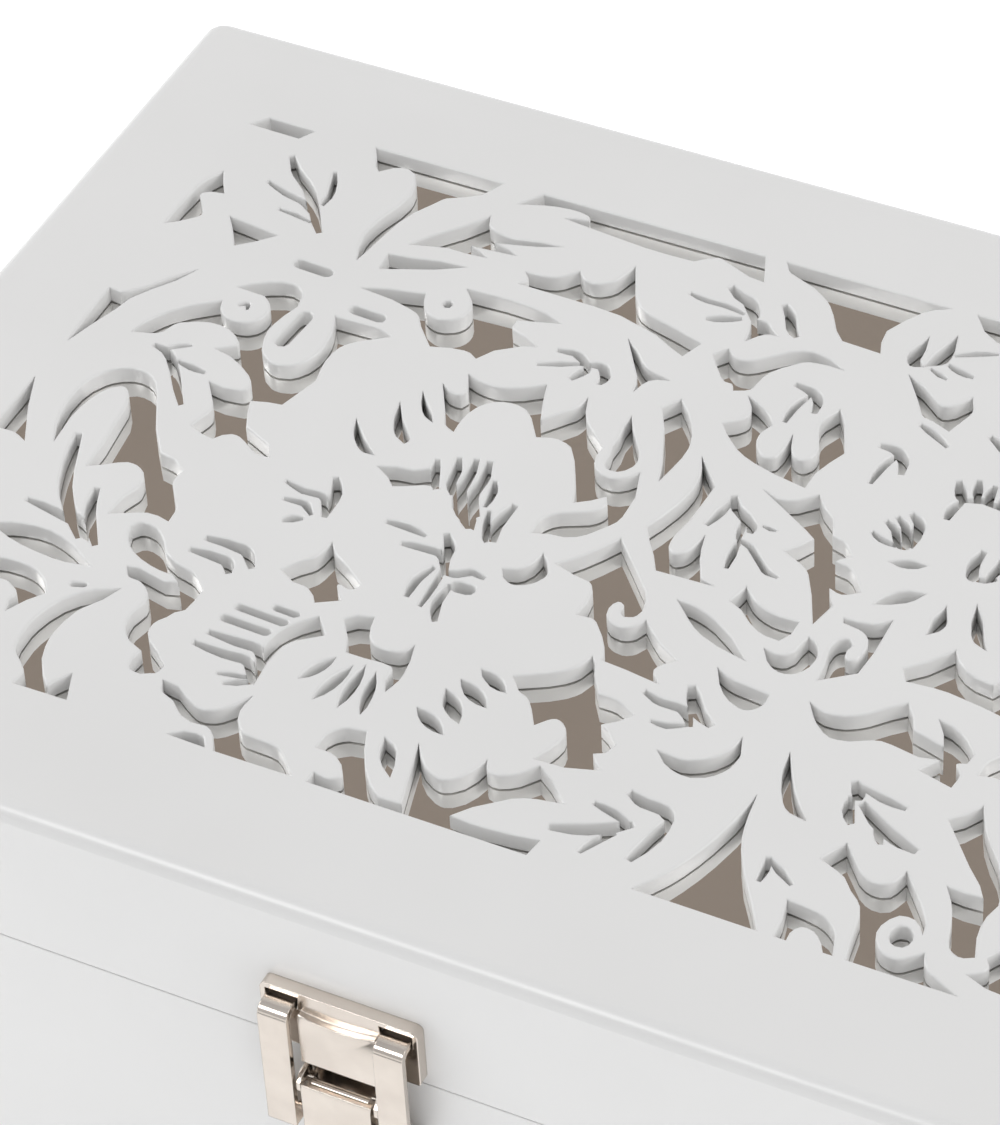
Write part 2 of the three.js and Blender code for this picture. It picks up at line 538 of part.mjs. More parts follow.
// The stamens in the heart of the left flower, and the veins that fan out below them.
function leftFlowerHeart() {
  return [
    slit(1.7, [[-37.5, 3.4], [-36.3, 0], [-34.4, -3.2]]),
    slit(1.8, [[-34.4, 5.2], [-33.3, 2], [-32.8, -1], [-31.3, -3.2]]),
    slit(2, [[-31.6, 6], [-30.8, 2], [-30.5, -2], [-27.5, -7], [-25.3, -9.5]]),
    slit(2, [[-29.4, 6.4], [-28.3, 2], [-28.2, -2], [-25.3, -6.5]]),
    slit(1.4, [[-26.5, 2.4], [-25.6, 0], [-25.2, -3.9]]),
    petal(-31.8, -1.6, -24.4, -9.5, 3.4),
    slit(1.3, [[-24.1, -4.4], [-23.3, -7], [-22, -10], [-21.2, -11.3]]),
    slit(2.2, [[-20.9, -1.4], [-21.5, -5], [-21.5, -7.5], [-20.3, -10.8]]),
    slit(2, [[-28, -12], [-26, -15], [-25.8, -17], [-24, -20.6]]),
    slit(1.6, [[-33.7, -17], [-31, -16.6], [-27, -16.6], [-25.3, -18.2]]),
    slit(1.7, [[-24.5, -20.3], [-22.3, -19.9], [-20.3, -18.6], [-17.7, -18.9]]),
    slit(1.7, [[-26.2, -19.8], [-27.5, -23.5], [-27.3, -27.7]]),
    slit(1.4, [[-24.8, -19.3], [-24.4, -24], [-24.3, -28.9]]),
    slit(1.7, [[-22, -22.5], [-22.2, -27], [-20.5, -31]]),
    slot(-20.8, -22.4, -18.9, -22.3, 2.4),
  ];
}

function rearLeaves() {
  return [
    gap([[-45.4, 52.1, K], [-42.5, 52.2], [-39.5, 53.1], [-37, 56, K], [-35.3, 54.2],
      [-32.8, 54], [-30.3, 56], [-28.8, 60.8, K], [-27.3, 57.8], [-25.6, 54], [-23.2, 51.2],
      [-20, 49.9], [-16, 48.9], [-10, 47, K], [-11.7, 43, K], [-14.5, 44.3], [-18, 46.2],
      [-21.4, 47.1], [-25, 48.2], [-30, 48.7], [-36, 48.7], [-42, 48.8], [-45.2, 48.8, K],
      [-44, 50.4]]),
    slit(1.6, [[-31.5, 35.9], [-28.5, 36.3], [-26, 35], [-24.4, 33.3]]),
    slit(1.2, [[-33, 31.3], [-29.5, 32.9], [-26, 34.3]]),
    slit(1.9, [[-26.3, 30.2], [-25.2, 32.5], [-24.4, 33.5]]),
    slit(1.8, [[-25, 34.6], [-22.8, 35], [-21.2, 33], [-21.3, 30.8]]),
    gap([[-21.8, 43.2, K], [-19, 40.8], [-16.5, 38.2], [-14, 37], [-10.8, 36.3, K],
      [-13.3, 35.7], [-14.6, 34.4], [-15.2, 31.2, K], [-16, 34.5], [-17.8, 37.5],
      [-20, 40.7]]),
    slit(1.3, [[-17.3, 58.3], [-14, 57.6], [-10, 57.6], [-6.5, 56.8]]),
    slit(2.4, [[-11.7, 62.6], [-9, 60.8], [-7, 60], [-5.3, 57.8], [-4.4, 56]]),
    slit(1.6, [[-12, 53.2], [-9.5, 54.3], [-6.5, 55.6]]),
    slit(1.9, [[-1.4, 61.8], [0.5, 59.8], [2.3, 56.5], [3.9, 55]]),
    gap([[-3.6, 50.6, K], [-4, 53.2], [-4.9, 56, K], [-2.3, 56.4], [-0.7, 55], [0.9, 53.9, K],
      [-1.5, 53.4]]),
    gap([[-7.1, 45.3, K], [-5.3, 47.6, K], [-3.3, 46], [-0.8, 46.2], [1.8, 48.5], [4.8, 51.2],
      [8, 52.5], [11.5, 51.8], [14.6, 50.2, K], [11, 50.4], [8, 49.9], [5.6, 47.8], [3.4, 45],
      [2.6, 42.3], [2.2, 39.8], [-0.3, 38.4, K], [-1.1, 39.9], [-2.6, 40], [-4.6, 42]]),
  ];
}

function rearRightLeaves() {
  return [
    slit(1.5, [[10.7, 34.6], [10.8, 38.5], [12, 42.3]]),
    slit(1.8, [[8.6, 43.8], [11.5, 43.4], [13.6, 41.8], [14.3, 38.5]]),
    gap([[24.2, 63.8, K], [24.9, 60.5], [25, 58], [26.4, 56.3, K], [24, 55.9], [22.6, 58.6],
      [23.3, 61]]),
    gap([[26.8, 60.5], [28.5, 66, K], [29.6, 61.5], [29.3, 58.5], [26.2, 56.4, K]]),
    slit(1.3, [[29.8, 58.5], [32.5, 57.6], [34.9, 57.2]]),
    slit(1, [[27.5, 56.4], [29.5, 55.6], [31, 55.1]]),
    slit(1.2, [[30, 61], [33, 62.7], [36.5, 64.2]]),
    gap([[24.8, 53.6, K], [28.5, 51.6], [33, 48.5], [34.8, 49.5], [36.7, 52.5, K], [38, 49.5],
      [37.3, 46.5], [36.3, 43.3, K], [33, 44.6], [31, 45.1], [29, 48], [26.8, 51]]),
    slit(1.4, [[31.4, 43], [34, 41.8], [37.6, 39.6]]),
    slit(1.6, [[43, 44.8], [45.5, 43.2], [48, 40.5]]),
  ];
}

// The flower in the middle and the leaves that lead to the one on its right.
function middleFlower() {
  return [
    gap([[-9.2, 29.8, K], [-7.2, 32.9, K], [-4.6, 30], [-2.4, 26.7], [-1.1, 22.8], [-1.2, 18],
      [-2, 13.2, K], [-3.4, 17.5], [-5.3, 21.8], [-6.9, 25.8]]),
    gap([[1.6, 30.3, K], [3.5, 31.6], [4.8, 33.6], [4.2, 36], [2.7, 38, K], [5, 37],
      [7.5, 35.2], [9.2, 33.2, K], [8.3, 31], [8.3, 28.8], [9.3, 26.8], [11, 25.3],
      [12.8, 25.8], [13.4, 28], [13.3, 32.2, K], [14.2, 29.5], [15.6, 27.4], [17.3, 27],
      [18.6, 28.5], [18.6, 31], [17.2, 34], [16.4, 37], [17.9, 41, K], [19.5, 38.8],
      [21.3, 35], [22.8, 31.5, K], [21.5, 28.5], [20.4, 25], [20.3, 21.3, K], [16.5, 21.9],
      [12.5, 22.9], [9, 24], [6, 25.7], [3.5, 28]]),
    gap([[1.8, 21.5, K], [4.2, 18.6], [6.8, 15.7, K], [6.6, 11], [6.4, 6], [5.7, 2],
      [6.2, -0.7], [7.6, -1.6], [9.3, -0.2], [10.3, 4.3, K], [11.2, 0.8], [12.3, -2.2],
      [13.8, -5, K], [16.8, -5.9, K], [12, -6], [6.5, -6.1, K], [4.7, -3], [2.7, -0.3],
      [0.9, 2.6, K], [2.2, 6], [3.5, 10.5], [3.9, 15], [3.2, 18.5]]),
    slit(2, [[10.7, 14.8], [12.2, 12.3], [14.3, 11], [16.3, 9.3], [16.6, 7.8]]),
    slit(1.6, [[10.9, 13.8], [10.3, 10.5], [9.4, 6.8]]),
    slit(0.9, [[17.8, 10.1], [20.3, 10]]),
    slit(1.3, [[15.5, 5.8], [17.8, 5], [20.5, 2.6], [22.8, 0.6], [25, 0]]),
    slit(1.4, [[15.8, 5.5], [16.1, 2], [16.6, -1.2]]),
    slit(1.4, [[14.5, 11], [15, 8], [15.6, 5.6]]),
    gap([[14.3, 18.1, K], [17.5, 17], [20.2, 17.7], [23.2, 20.6, K], [25, 18.2], [27.4, 16.2],
      [29, 12.6, K], [31.2, 12], [33.8, 9.3, K], [32.4, 8.3], [31.8, 7.3, K], [34.8, 6.6],
      [38.4, 2.3, K], [35.8, 0.7], [33.4, 1.3, K], [34.3, -0.6], [35.6, -2.3, K],
      [35.1, -4.6], [34.4, -7.4, K], [32.6, -3.5], [30.8, 0], [28.3, 3.8], [23.4, 6.2, K],
      [25.2, 8.2], [26.6, 10.8, K], [24.6, 12.2], [22, 13.6], [18.5, 15.8]]),
    gap([[21.3, -3.8, K], [23.3, -5.9], [26, -7.4], [29, -8], [32.2, -7.8, K], [32.1, -10.8],
      [31, -12.9, K], [28, -12.6], [25.2, -11.1], [22.8, -8.9], [20.2, -7.9, K],
      [20.9, -6]]),
    gap([[12.6, -11, K], [15.5, -11.2], [19.5, -12.6], [24, -15.5], [28.2, -19.3, K],
      [24, -18.3], [19.5, -16.7], [16, -14.3]]),
    gap([[29.6, -15.5, K], [31.6, -16], [33.3, -15.6], [34.4, -14], [34.6, -12], [35, -10.3, K],
      [36.6, -11.2], [37.9, -13.6], [37.6, -16.8], [35.8, -19], [33.2, -19.3],
      [31.2, -17.8]]),
    gap([[38.3, -4.2, K], [41, -4.1], [43.6, -3.5], [45.6, -1.6, K], [45.7, -6.5], [45.6, -11],
      [45.2, -14.6, K], [43, -16.2], [40.1, -18.6, K], [39.8, -15], [39.1, -11.3],
      [39.6, -9], [41, -8.3], [42, -9.3], [41.6, -10.9], [42.3, -12.6], [43.7, -12.3],
      [44.3, -10], [43.9, -7.3], [42.2, -5.7], [38.7, -5.3, K]]),
  ];
}

// One half of the right-hand flower, which is the same on both sides of its middle.
function halfRightFlower() {
  return [
    slit(1.5, [[29.6, 26.4], [29.8, 31], [31, 34.6]]),
    slit(1.9, [[27.4, 35.6], [30.3, 35.5], [32.4, 33.6], [33.3, 30.4]]),
    gap([[39.7, 10.6, K], [42.5, 12.2], [45.8, 12.3, K], [44.5, 11], [42, 10.2]]),
    gap([[41.2, 0.5, K], [42.3, 3], [44.5, 5.3], [48, 6.2, K], [46.5, 3.6], [44, 1.8]]),
    gap([[52, 4.8, K], [51.2, 1.5], [51.6, -2.4, K], [53, -1], [53.6, 1], [52.8, 3.2]]),
    slit(1.2, [[34.4, 16.1], [36.5, 14.9], [39.3, 14.4]]),
    slit(1.5, [[35.5, 19.3], [37.6, 18], [38.8, 15.9], [39.5, 14.6]]),
    slit(1.6, [[36.8, 20.9], [38.8, 19.3], [40, 17], [40.5, 15]]),
    slit(1.9, [[38.5, 22.5], [40.6, 20.8], [41.3, 18], [41.4, 15]]),
    slit(1.6, [[39, 14.8], [41.3, 14.9]]),
    slit(2, [[42.5, 32.8], [44, 30], [44.9, 28.6]]),
    slit(1.7, [[45.5, 34.2], [46.2, 31.8], [46.9, 29.7]]),
    slit(1.8, [[48.4, 34], [48.4, 31.5], [49.2, 29.8]]),
    slit(1.7, [[51, 33.5], [50.9, 31], [51.2, 29.4]]),
    slit(1.8, [[44.9, 28.7], [44, 26], [44.2, 23.5]]),
    slit(1.3, [[45, 28.6], [48, 29.9], [51.2, 29.2]]),
    slit(2.1, [[52.6, 19], [52.2, 16], [53, 13], [54, 12]]),
    slit(1.8, [[56, 18], [56, 15], [55.5, 13]]),
    slit(1.4, [[54, 12.2], [57, 13.6]]),
  ];
}

function rightFlower() {
  const middle = 59;
  const stem = gap([[56.3, 7, K], [58.5, 4], [60, 0.8], [61.6, -2, K], [59, -0.8],
    [57.4, 1.8], [56.6, 4.4]]);
  return [...halfRightFlower(), ...mirrored(halfRightFlower(), middle), stem];
}

// The scroll and leaves at the front of the middle.
function frontMiddle() {
  return [
    gap([[-8.7, -11.2, K], [-6.2, -8.6], [-3.9, -5.3], [-1.8, -1.7, K], [1.3, -5.2],
      [4.8, -8.9], [7.6, -12.2], [8.5, -15.5, K], [7.8, -17.4], [6.3, -17.8], [5.4, -16.8],
      [5.3, -15.4], [4.2, -15], [3.4, -16.3], [3.6, -18.4], [5, -19.9], [7.3, -20.3],
      [9, -19.3], [10, -17.2, K], [12, -19.3], [14.7, -21.6], [18.2, -23.5, K],
      [16.5, -25.2], [15.8, -27], [17.9, -29.4, K], [15, -29], [12, -28.5], [9.8, -28.4],
      [7.5, -28.2, K], [7.4, -27], [5.8, -24], [4, -21.8], [2.4, -20.3], [-0.7, -20.4, K],
      [-0.2, -17.5], [-0.6, -14.6, K], [-1.8, -12.9], [-5, -12.3]]),
    gap([[5.8, -28, K], [5, -30.6], [3, -33], [-0.8, -35.5], [-3.6, -37, K],
      [-1.2, -39.6], [0.5, -40.3], [2, -42], [4.1, -45.3, K], [5.2, -43.8], [6.7, -42.7],
      [8.3, -43.3], [9.5, -45.2], [9, -48.5], [7.3, -52, K], [10, -51.9], [12.8, -51.6],
      [17.8, -50, K], [16.2, -48.9], [15.1, -47.2, K], [16.8, -46.3], [17.6, -44.3, K],
      [15.2, -42], [13.5, -41, K], [15.5, -39.4], [17.3, -37.2, K], [13.5, -35.3],
      [10.3, -35.2, K], [8.9, -33.2], [7.6, -31.2], [6.9, -29.4]]),
    gap([[-24.5, -63.4, K], [-24.2, -60], [-22.2, -57.9], [-19, -57.2, K], [-17.8, -60.3],
      [-15.8, -64], [-13.3, -67.2], [-11, -69, K], [-6.8, -69, K], [-8, -64.5], [-9.3, -60],
      [-10.4, -56.2, K], [-8.6, -59], [-6.3, -61], [-3.5, -61.8], [-1.2, -60.3],
      [0.2, -57.8], [0.9, -55.2, K], [2, -57.3], [4, -57.5], [6.8, -55.8], [8.9, -53, K],
      [11.3, -54.6], [15.7, -58.7, K], [12, -59.3], [8.3, -60.7], [5.2, -63.2],
      [2.7, -65.6], [0.9, -68, K], [5, -68.3], [10, -68], [15.9, -67.2, K],
      [15.2, -70.6, K], [-22.4, -70.6, K], [-22.3, -68.3, K], [-19.5, -68.7],
      [-18, -67.5], [-19, -65.3], [-21.3, -63.6]]),
    gap([[-15.8, -57.2, K], [-13.3, -58.5], [-11.8, -61.5], [-11.1, -64.5, K],
      [-13.8, -62.3], [-15.2, -60]]),
    gap([[-53.6, -60.1, K], [-50.6, -60.5], [-48, -62.2], [-45.3, -63.4], [-42.8, -62.8],
      [-40.8, -60.8], [-38.8, -57.5, K], [-39.3, -60.5], [-38.5, -63.3], [-36.3, -65.4],
      [-33, -65.6], [-30, -66], [-27.5, -68], [-25, -70.5, K], [-38.8, -70.5, K],
      [-39.6, -69], [-40.4, -67.6], [-42, -66.3], [-45, -66.4], [-47.3, -65.6],
      [-49.8, -63.4], [-52.3, -62.4]]),
    gap([[-47, -70.3, K], [-44.5, -68.6], [-41.6, -68.7], [-40.4, -70.4, K]]),
  ];
}

// The tulip at the front, with the fan of narrow leaves on its right.
function frontTulip() {
  return [
    petal(-34.2, -51.3, -30.9, -44.5, 2),
    petal(-30, -54.4, -27.7, -45.2, 2.1),
    petal(-25.6, -54.4, -25.9, -44.3, 1.9),
    petal(-21.6, -54.4, -23.7, -45, 1.9),
    gap([[-29.7, -34, K], [-29, -37], [-27.5, -39.3], [-24.5, -40], [-22, -39.3],
      [-20.9, -37.2, K], [-20, -40.5], [-19.5, -44], [-20.3, -48.4, K], [-21.5, -46],
      [-21.7, -43.2], [-23.5, -42.6], [-27, -42.8], [-30.2, -42.8, K], [-31.4, -39.8],
      [-33.9, -36.3, K], [-32.3, -34.8]]),
    petal(-8.9, -37.6, -3, -40.8, 2.3),
    petal(-10.8, -41, -4.3, -45, 2.6),
    petal(-12, -43.8, -6.7, -49.8, 2.8),
    petal(-14.3, -49.3, -7.8, -53, 2.4),
  ];
}

function frontRightLeaves() {
  return [
    slit(2.4, [[22.8, -27.7], [24.2, -30], [26.3, -32.8], [29.3, -34.5]]),
    slit(1.7, [[16.5, -31.7], [19.5, -32.8], [23.5, -32.9], [25.3, -34.3], [26.3, -36]]),
    slit(1.2, [[20.2, -37.3], [23, -37.2], [26, -35.8]]),
    gap([[34.7, -34.9, K], [34.2, -38], [32, -41], [28.5, -42.9], [23.9, -42.6, K],
      [26.3, -44.8], [29.5, -46], [33, -44.9], [35.4, -42], [36, -39], [35.5, -36.8]]),
    gap([[24.8, -22.4, K], [27.5, -23.7], [31, -24.3], [34.6, -24.6, K], [34.5, -27.3],
      [32.6, -29.1], [29.5, -28.3], [26.8, -25.8]]),
    gap([[42.7, -34.8, K], [45, -39.3], [47.3, -43], [51, -47.2, K], [47.5, -46.4],
      [45.2, -43.5], [43.3, -39]]),
    slit(2.2, [[54.2, -36.4], [55.6, -38.2], [56.3, -40]]),
    slit(1.6, [[55.3, -36.9], [59.5, -38], [63.6, -38.6]]),
    slit(2, [[55, -39.5], [55.7, -42.3], [57.3, -44.9]]),
    slit(2.4, [[57, -40.2], [61, -43.2], [65, -45.2], [68.5, -46.1]]),
    slit(1.5, [[60.7, -42.7], [61.8, -45], [63, -47]]),
    gap([[41, -23.5, K], [44, -24.7], [47.3, -24.2], [50.5, -22.1], [53, -19.4],
      [55, -17.6, K], [56.8, -20], [58, -22.6, K], [61, -23.4], [63.7, -24.2, K],
      [62.6, -21.5], [60.8, -19, K], [63.5, -19.6], [66.3, -21.4], [68.6, -24, K],
      [68.3, -26, K], [66.8, -26.6], [68.2, -28.6], [68, -31.6, K], [65.5, -31],
      [62.2, -30.2, K], [63.5, -28.3], [64.3, -26.9, K], [61, -27.6], [57.5, -27],
      [54, -26.8], [50, -28.8], [46.5, -29.2], [43.5, -27]]),
    gap([[51.3, -10.8, K], [54.3, -8], [57.2, -3.8, K], [58.8, -6.2], [61.5, -8],
      [65.5, -8.7, K], [68.5, -3.5, K], [70, -8], [70.3, -14.6, K], [66.5, -13.8],
      [62.5, -13.2], [58, -12.8], [52.8, -13.2, K]]),
    gap([[41.8, -45.1, K], [42.3, -49.5], [43.3, -54], [45.3, -58.5], [47.8, -62.5],
      [50.3, -66], [53.2, -70.5, K], [32.8, -70.5, K], [34.8, -67.8], [37, -64],
      [39, -59], [40.3, -54.5], [41.3, -50]]),
    gap([[54.8, -63, K], [58, -63.3], [61.5, -64.2], [63.9, -66.3], [65.4, -70.5, K],
      [63.9, -70.5, K], [62.6, -68.5], [60.8, -67.1], [58.9, -67.1], [57.9, -68.5],
      [57.9, -70.5, K], [56, -70.5, K], [55.8, -67]]),
    slit(2.2, [[23.8, -52.4], [26.5, -53.5], [30.5, -53.9], [32.2, -55.6]]),
    slit(1.6, [[19.8, -56.7], [23.5, -57.5], [27.3, -59]]),
    slit(2.4, [[15.8, -64], [20, -62.8], [24, -60.8], [27.2, -58.4]]),
    slit(1.5, [[22.3, -67], [23.6, -63.8], [25.6, -61]]),
    slit(2.3, [[31.9, -55.2], [31.4, -59.5], [29.8, -65.4]]),
    slit(1.5, [[48.7, -56.3], [49.3, -58.8], [49.3, -61.3]]),
    slit(1.4, [[48.9, -56.4], [51.5, -58.2], [54.2, -60.1]]),
  ];
}

// The scroll ring near the front-right corner.
function frontRightScroll() {
  return [
    gap([[56, -53.3, K], [58.3, -48.8, K], [60.3, -51.2], [63, -53.9], [65.5, -54.7],
      [67.6, -53.9], [68.8, -50.5, K], [71, -53.2], [73.6, -56.3], [75.4, -59],
      [75.9, -61.3, K], [75, -59.9], [73.3, -58.8], [71.3, -59.2], [69.9, -60.9],
      [69.4, -63.2], [70.2, -65.5], [72, -67.2], [74.5, -67.4], [77.6, -64.6, K],
      [78.6, -67], [81, -68.6], [85.2, -70.5, K], [67.6, -70.5, K], [67, -68],
      [66.4, -64.5], [65.9, -61.3], [64.8, -59.2], [62.8, -57.5], [60.8, -55.3],
      [58.5, -54.2]]),
    gap([[71.3, -62.6, K], [72, -61.2], [73.4, -60.8], [74.7, -61.9], [75, -63.2],
      [74.3, -64.7], [72.9, -65], [71.7, -64.1]]),
    gap([[70.3, -38, K], [72.3, -36.1], [74, -33.3, K], [75.8, -37.2], [78.2, -40.6],
      [80.8, -43.8], [82.8, -47.6], [83.8, -51.3, K], [83, -54.5], [83.2, -58],
      [84.6, -62.3, K], [82.3, -63.3], [80.6, -62.2], [79.5, -59.8], [78.7, -56.8],
      [77.3, -53.6], [75.4, -50.8, K], [78.3, -51.1], [81.3, -50.9, K], [79.8, -48.6],
      [77.3, -46.1], [74.7, -43.1], [72.4, -40.5]]),
    gap([[84.9, -66, K], [86.9, -64.7], [87.3, -63.2], [86.3, -61.8, K], [87.3, -60],
      [88.5, -58, K], [89.5, -61], [90.2, -64.3], [91, -67.5, K], [88.5, -67.3],
      [86.5, -66.5]]),
  ];
}

// The right end repeats the left one, turned over about the middle of the lid.
function rightEnd() {
  return [
    ...mirrored([...rearBorderEnd(), ...cornerPetals(), ...cornerHook(), ...rearLeftLeaves(),
      ...sideCrescents(), ...sideLeaf()]),
    ...moved(mirrored(frontLeftLens()), 7, 0),
    gap([[99.8, 11.3, K], [98.8, 14.5], [96.3, 18.8], [93, 22], [89, 25, K], [88.5, 21],
      [91.5, 17.8], [94, 16], [95.2, 13.2]]),
  ];
}

function frontCorners() {
  const middle = 0.9;
  const corner = rearBorderEnd().slice(0, 1);
  const left = flipped([...corner, ...cornerHook()], middle);
  const petals = moved(mirrored(flipped(cornerPetals(), middle)), 6, -1);
  return [...left, ...mirrored(left), ...petals];
}

function fretwork() {
  return [
    ...rearBorderEnd(),
    ...rearBorderMiddle(),
    ...rearBorderRight(),
    ...cornerPetals(),
    ...cornerHook(),
    ...rearLeftLeaves(),
    ...rearLeftCurl(),
    ...leftLobes(),
    ...sideCrescents(),
    ...sideLeaf(),
    ...frontLeftLens(),
    ...frontLeftLeaves(),
    ...frontLeftScroll(),
    ...leftFlower(),
    ...rearLeaves(),
    ...rearRightLeaves(),
    ...middleFlower(),
    ...rightFlower(),
    ...frontMiddle(),
    ...frontTulip(),
    ...frontRightLeaves(),
    ...frontRightScroll(),
    ...rightEnd(),
    ...frontCorners(),
  ];
}

// ---------- lid ----------

// A slab with rounded corners, built up from rounded rectangles, each [height, inset].
function slab(halfX, halfY, radius, levels) {
  const ring = ([height, inset]) => {
    const shape = roundedPlate(-halfX + inset, -halfY + inset, halfX - inset, halfY - inset,
      Array(4).fill(radius - inset));
    return shape.extractPoints(ARC).shape.slice(0, -1).map((p) => [p.x, p.y, height]);
  };
  const rings = levels.map(ring);
  const count = rings[0].length;
  const indices = [];
  for (let i = 0; i < count; i += 1) {
    const next = (i + 1) % count;
    for (let level = 0; level < rings.length - 1; level += 1) {
      const [low, high] = [level * count, (level + 1) * count];
      indices.push(low + i, low + next, high + next, low + i, high + next, high + i);
    }
    const top = (rings.length - 1) * count;
    if (i > 0 && next > 0) indices.push(0, next, i, top, top + i, top + next);
  }
  const geometry = new THREE.BufferGeometry();
  geometry.setAttribute('position', new THREE.Float32BufferAttribute(rings.flat(2), 3));
  return geometry.setIndex(indices);
}

function fretworkPanel() {
  const steps = 5;
  const levels = Array.from({ length: steps + 1 }, (_, step) => {
    const angle = (step / steps) * (Math.PI / 2);
    const rise = EDGE_ROUND * Math.sin(angle);
    return [LID_TOP - EDGE_ROUND + rise, EDGE_ROUND * (1 - Math.cos(angle))];
  });
  const panel = toSolid(slab(WIDTH / 2, DEPTH / 2, CORNER, levels));
  return fretwork().reduce((rest, outline) => {
    const cutter = upright(polygon(outline), PANEL_BOTTOM - 1, LID_TOP + 1);
    return rest.subtract(toSolid(cutter));
  }, panel);
}

function addBeads() {
  const profile = polygon([[0, -BEAD], [BEAD / 2, -BEAD], [BEAD, -BEAD / 2], [BEAD, 0], [0, 0]]);
  const top = PANEL_BOTTOM - MIRROR - BACKING;
  ['front', 'right', 'back', 'left'].forEach((side, turn) => {
    const across = turn % 2 === 0;
    const half = across ? INNER_X : INNER_Y - BEAD;
    const bead = crosswise(profile, -half, half);
    bead.translate(0, across ? -INNER_Y : -INNER_X, top).rotateZ((turn * Math.PI) / 2);
    add(`mirror_bead_${side}`, bead, lacquer);
  });
}

// The front and back walls run the full width and carry the rounded corners.
function longWall(front, z0, z1) {
  const outer = front ? [CORNER, CORNER, 0, 0] : [0, 0, CORNER, CORNER];
  const [y0, y1] = front ? [FRONT, FRONT + WALL] : [BACK - WALL, BACK];
  return upright(roundedPlate(-WIDTH / 2, y0, WIDTH / 2, y1, outer), z0, z1);
}

function shortWall(side, z0, z1) {
  const wall = block(INNER_X, WIDTH / 2, -INNER_Y, INNER_Y, z0, z1);
  return side < 0 ? wall.rotateZ(Math.PI) : wall;
}

function addLid() {
  const [z0, z1] = [LID_BOTTOM, PANEL_BOTTOM];
  const underMirror = z1 - MIRROR;
  add('lid_fretwork_panel', fretworkPanel(), lacquer);
  add('lid_mirror', block(-INNER_X + FIT, INNER_X - FIT, -INNER_Y + FIT, INNER_Y - FIT,
    underMirror, z1), mirrorGlass);
  add('lid_mirror_backing', block(-INNER_X + FIT, INNER_X - FIT, -INNER_Y + FIT, INNER_Y - FIT,
    underMirror - BACKING, underMirror), board);
  addBeads();
  add('lid_rail_front', cut(longWall(true, z0, z1), ...keeperScrews(FIT / 2).map(atLatch)), lacquer);
  add('lid_rail_back', cut(longWall(false, z0, z1), ...hingeRecesses(1)), lacquer);
  add('lid_rail_left', shortWall(-1, z0, z1), lacquer);
  add('lid_rail_right', shortWall(1, z0, z1), lacquer);
}

// ---------- body ----------

function addBody() {
  const [z0, z1] = [BODY_BOTTOM, BODY_TOP];
  add('body_wall_front', cut(longWall(true, z0, z1), ...plateScrews(FIT / 2).map(atLatch)), lacquer);
  add('body_wall_back', cut(longWall(false, z0, z1), ...hingeRecesses(-1)), lacquer);
  add('body_wall_left', shortWall(-1, z0, z1), lacquer);
  add('body_wall_right', shortWall(1, z0, z1), lacquer);
  add('body_base_panel', block(-INNER_X, INNER_X, -INNER_Y, INNER_Y, z0, z0 + BASE), board);
  add('body_felt_lining', block(-INNER_X + 1, INNER_X - 1, -INNER_Y + 1, INNER_Y - 1,
    z0 + BASE, z0 + BASE + FELT), felt);
  [[-1, -1], [1, -1], [-1, 1], [1, 1]].forEach(([sx, sy]) => {
    const name = `foot_${sy < 0 ? 'front' : 'back'}_${sx < 0 ? 'left' : 'right'}`;
    const profile = [[0, 0], [FOOT_RADIUS - 1, 0], [FOOT_RADIUS, 1], [FOOT_RADIUS, FOOT_HEIGHT],
      [0, FOOT_HEIGHT]];
    const [x, y] = [sx * (WIDTH / 2 - FOOT_INSET), sy * (DEPTH / 2 - FOOT_INSET)];
    add(name, turned(profile, x, y), rubber);
  });
}

// ---------- screws ----------

// A countersunk wood screw, its head flush with z = 0 and facing up. A grown screw is the hole.
function screw(grow = 0, length = SCREW_LENGTH) {
  const [shank, head] = [SCREW_SHANK + grow, SCREW_HEAD + grow];
  const tip = -length - grow;
  const profile = [[0, tip], [shank, tip + 1.5], [shank, -1], [head, 0]];
  if (grow > 0) profile.push([head, 0.5], [0, 0.5]);
  else profile.push([0, 0]);
  return turned(profile, 0, 0, 16);
}

function slotted(place, length = SCREW_LENGTH) {
  const slotCut = block(-SCREW_HEAD, SCREW_HEAD, -0.3, 0.3, -0.45, 1).rotateZ(0.6);
  return toGeometry(cut(screw(0, length), slotCut)).applyMatrix4(place);
}

function placeAt(x, y, z, tilt) {
  return new THREE.Matrix4().makeTranslation(x, y, z)
    .multiply(new THREE.Matrix4().makeRotationX(tilt));
}

// ---------- hinges ----------

// side is -1 for the leaf on the body, below the seam, and 1 for the leaf on the lid.
function leafFace(side) {
  return side < 0 ? BODY_TOP : LID_BOTTOM;
}

function hingeScrewPlaces(side) {
  const tilt = side < 0 ? 0 : Math.PI;
  return [-1, 1].flatMap((hinge) => [-1, 1].map((end) => placeAt(
    hinge * HINGE_X + end * SCREW_SPREAD, BACK - LEAF_REACH / 2, leafFace(side), tilt)));
}

function hingeRecesses(side) {
  const face = leafFace(side);
  const depth = face + side * LEAF_THICK;
  const half = LEAF_LENGTH / 2 + LEAF_GAP;
  const recesses = [-1, 1].map((hinge) => block(hinge * HINGE_X - half, hinge * HINGE_X + half,
    BACK - LEAF_REACH - LEAF_GAP, BACK + 1, Math.min(face - side, depth),
    Math.max(face - side, depth)));
  const holes = hingeScrewPlaces(side).map((place) => screw(FIT / 2).applyMatrix4(place));
  return [...recesses, ...holes];
}

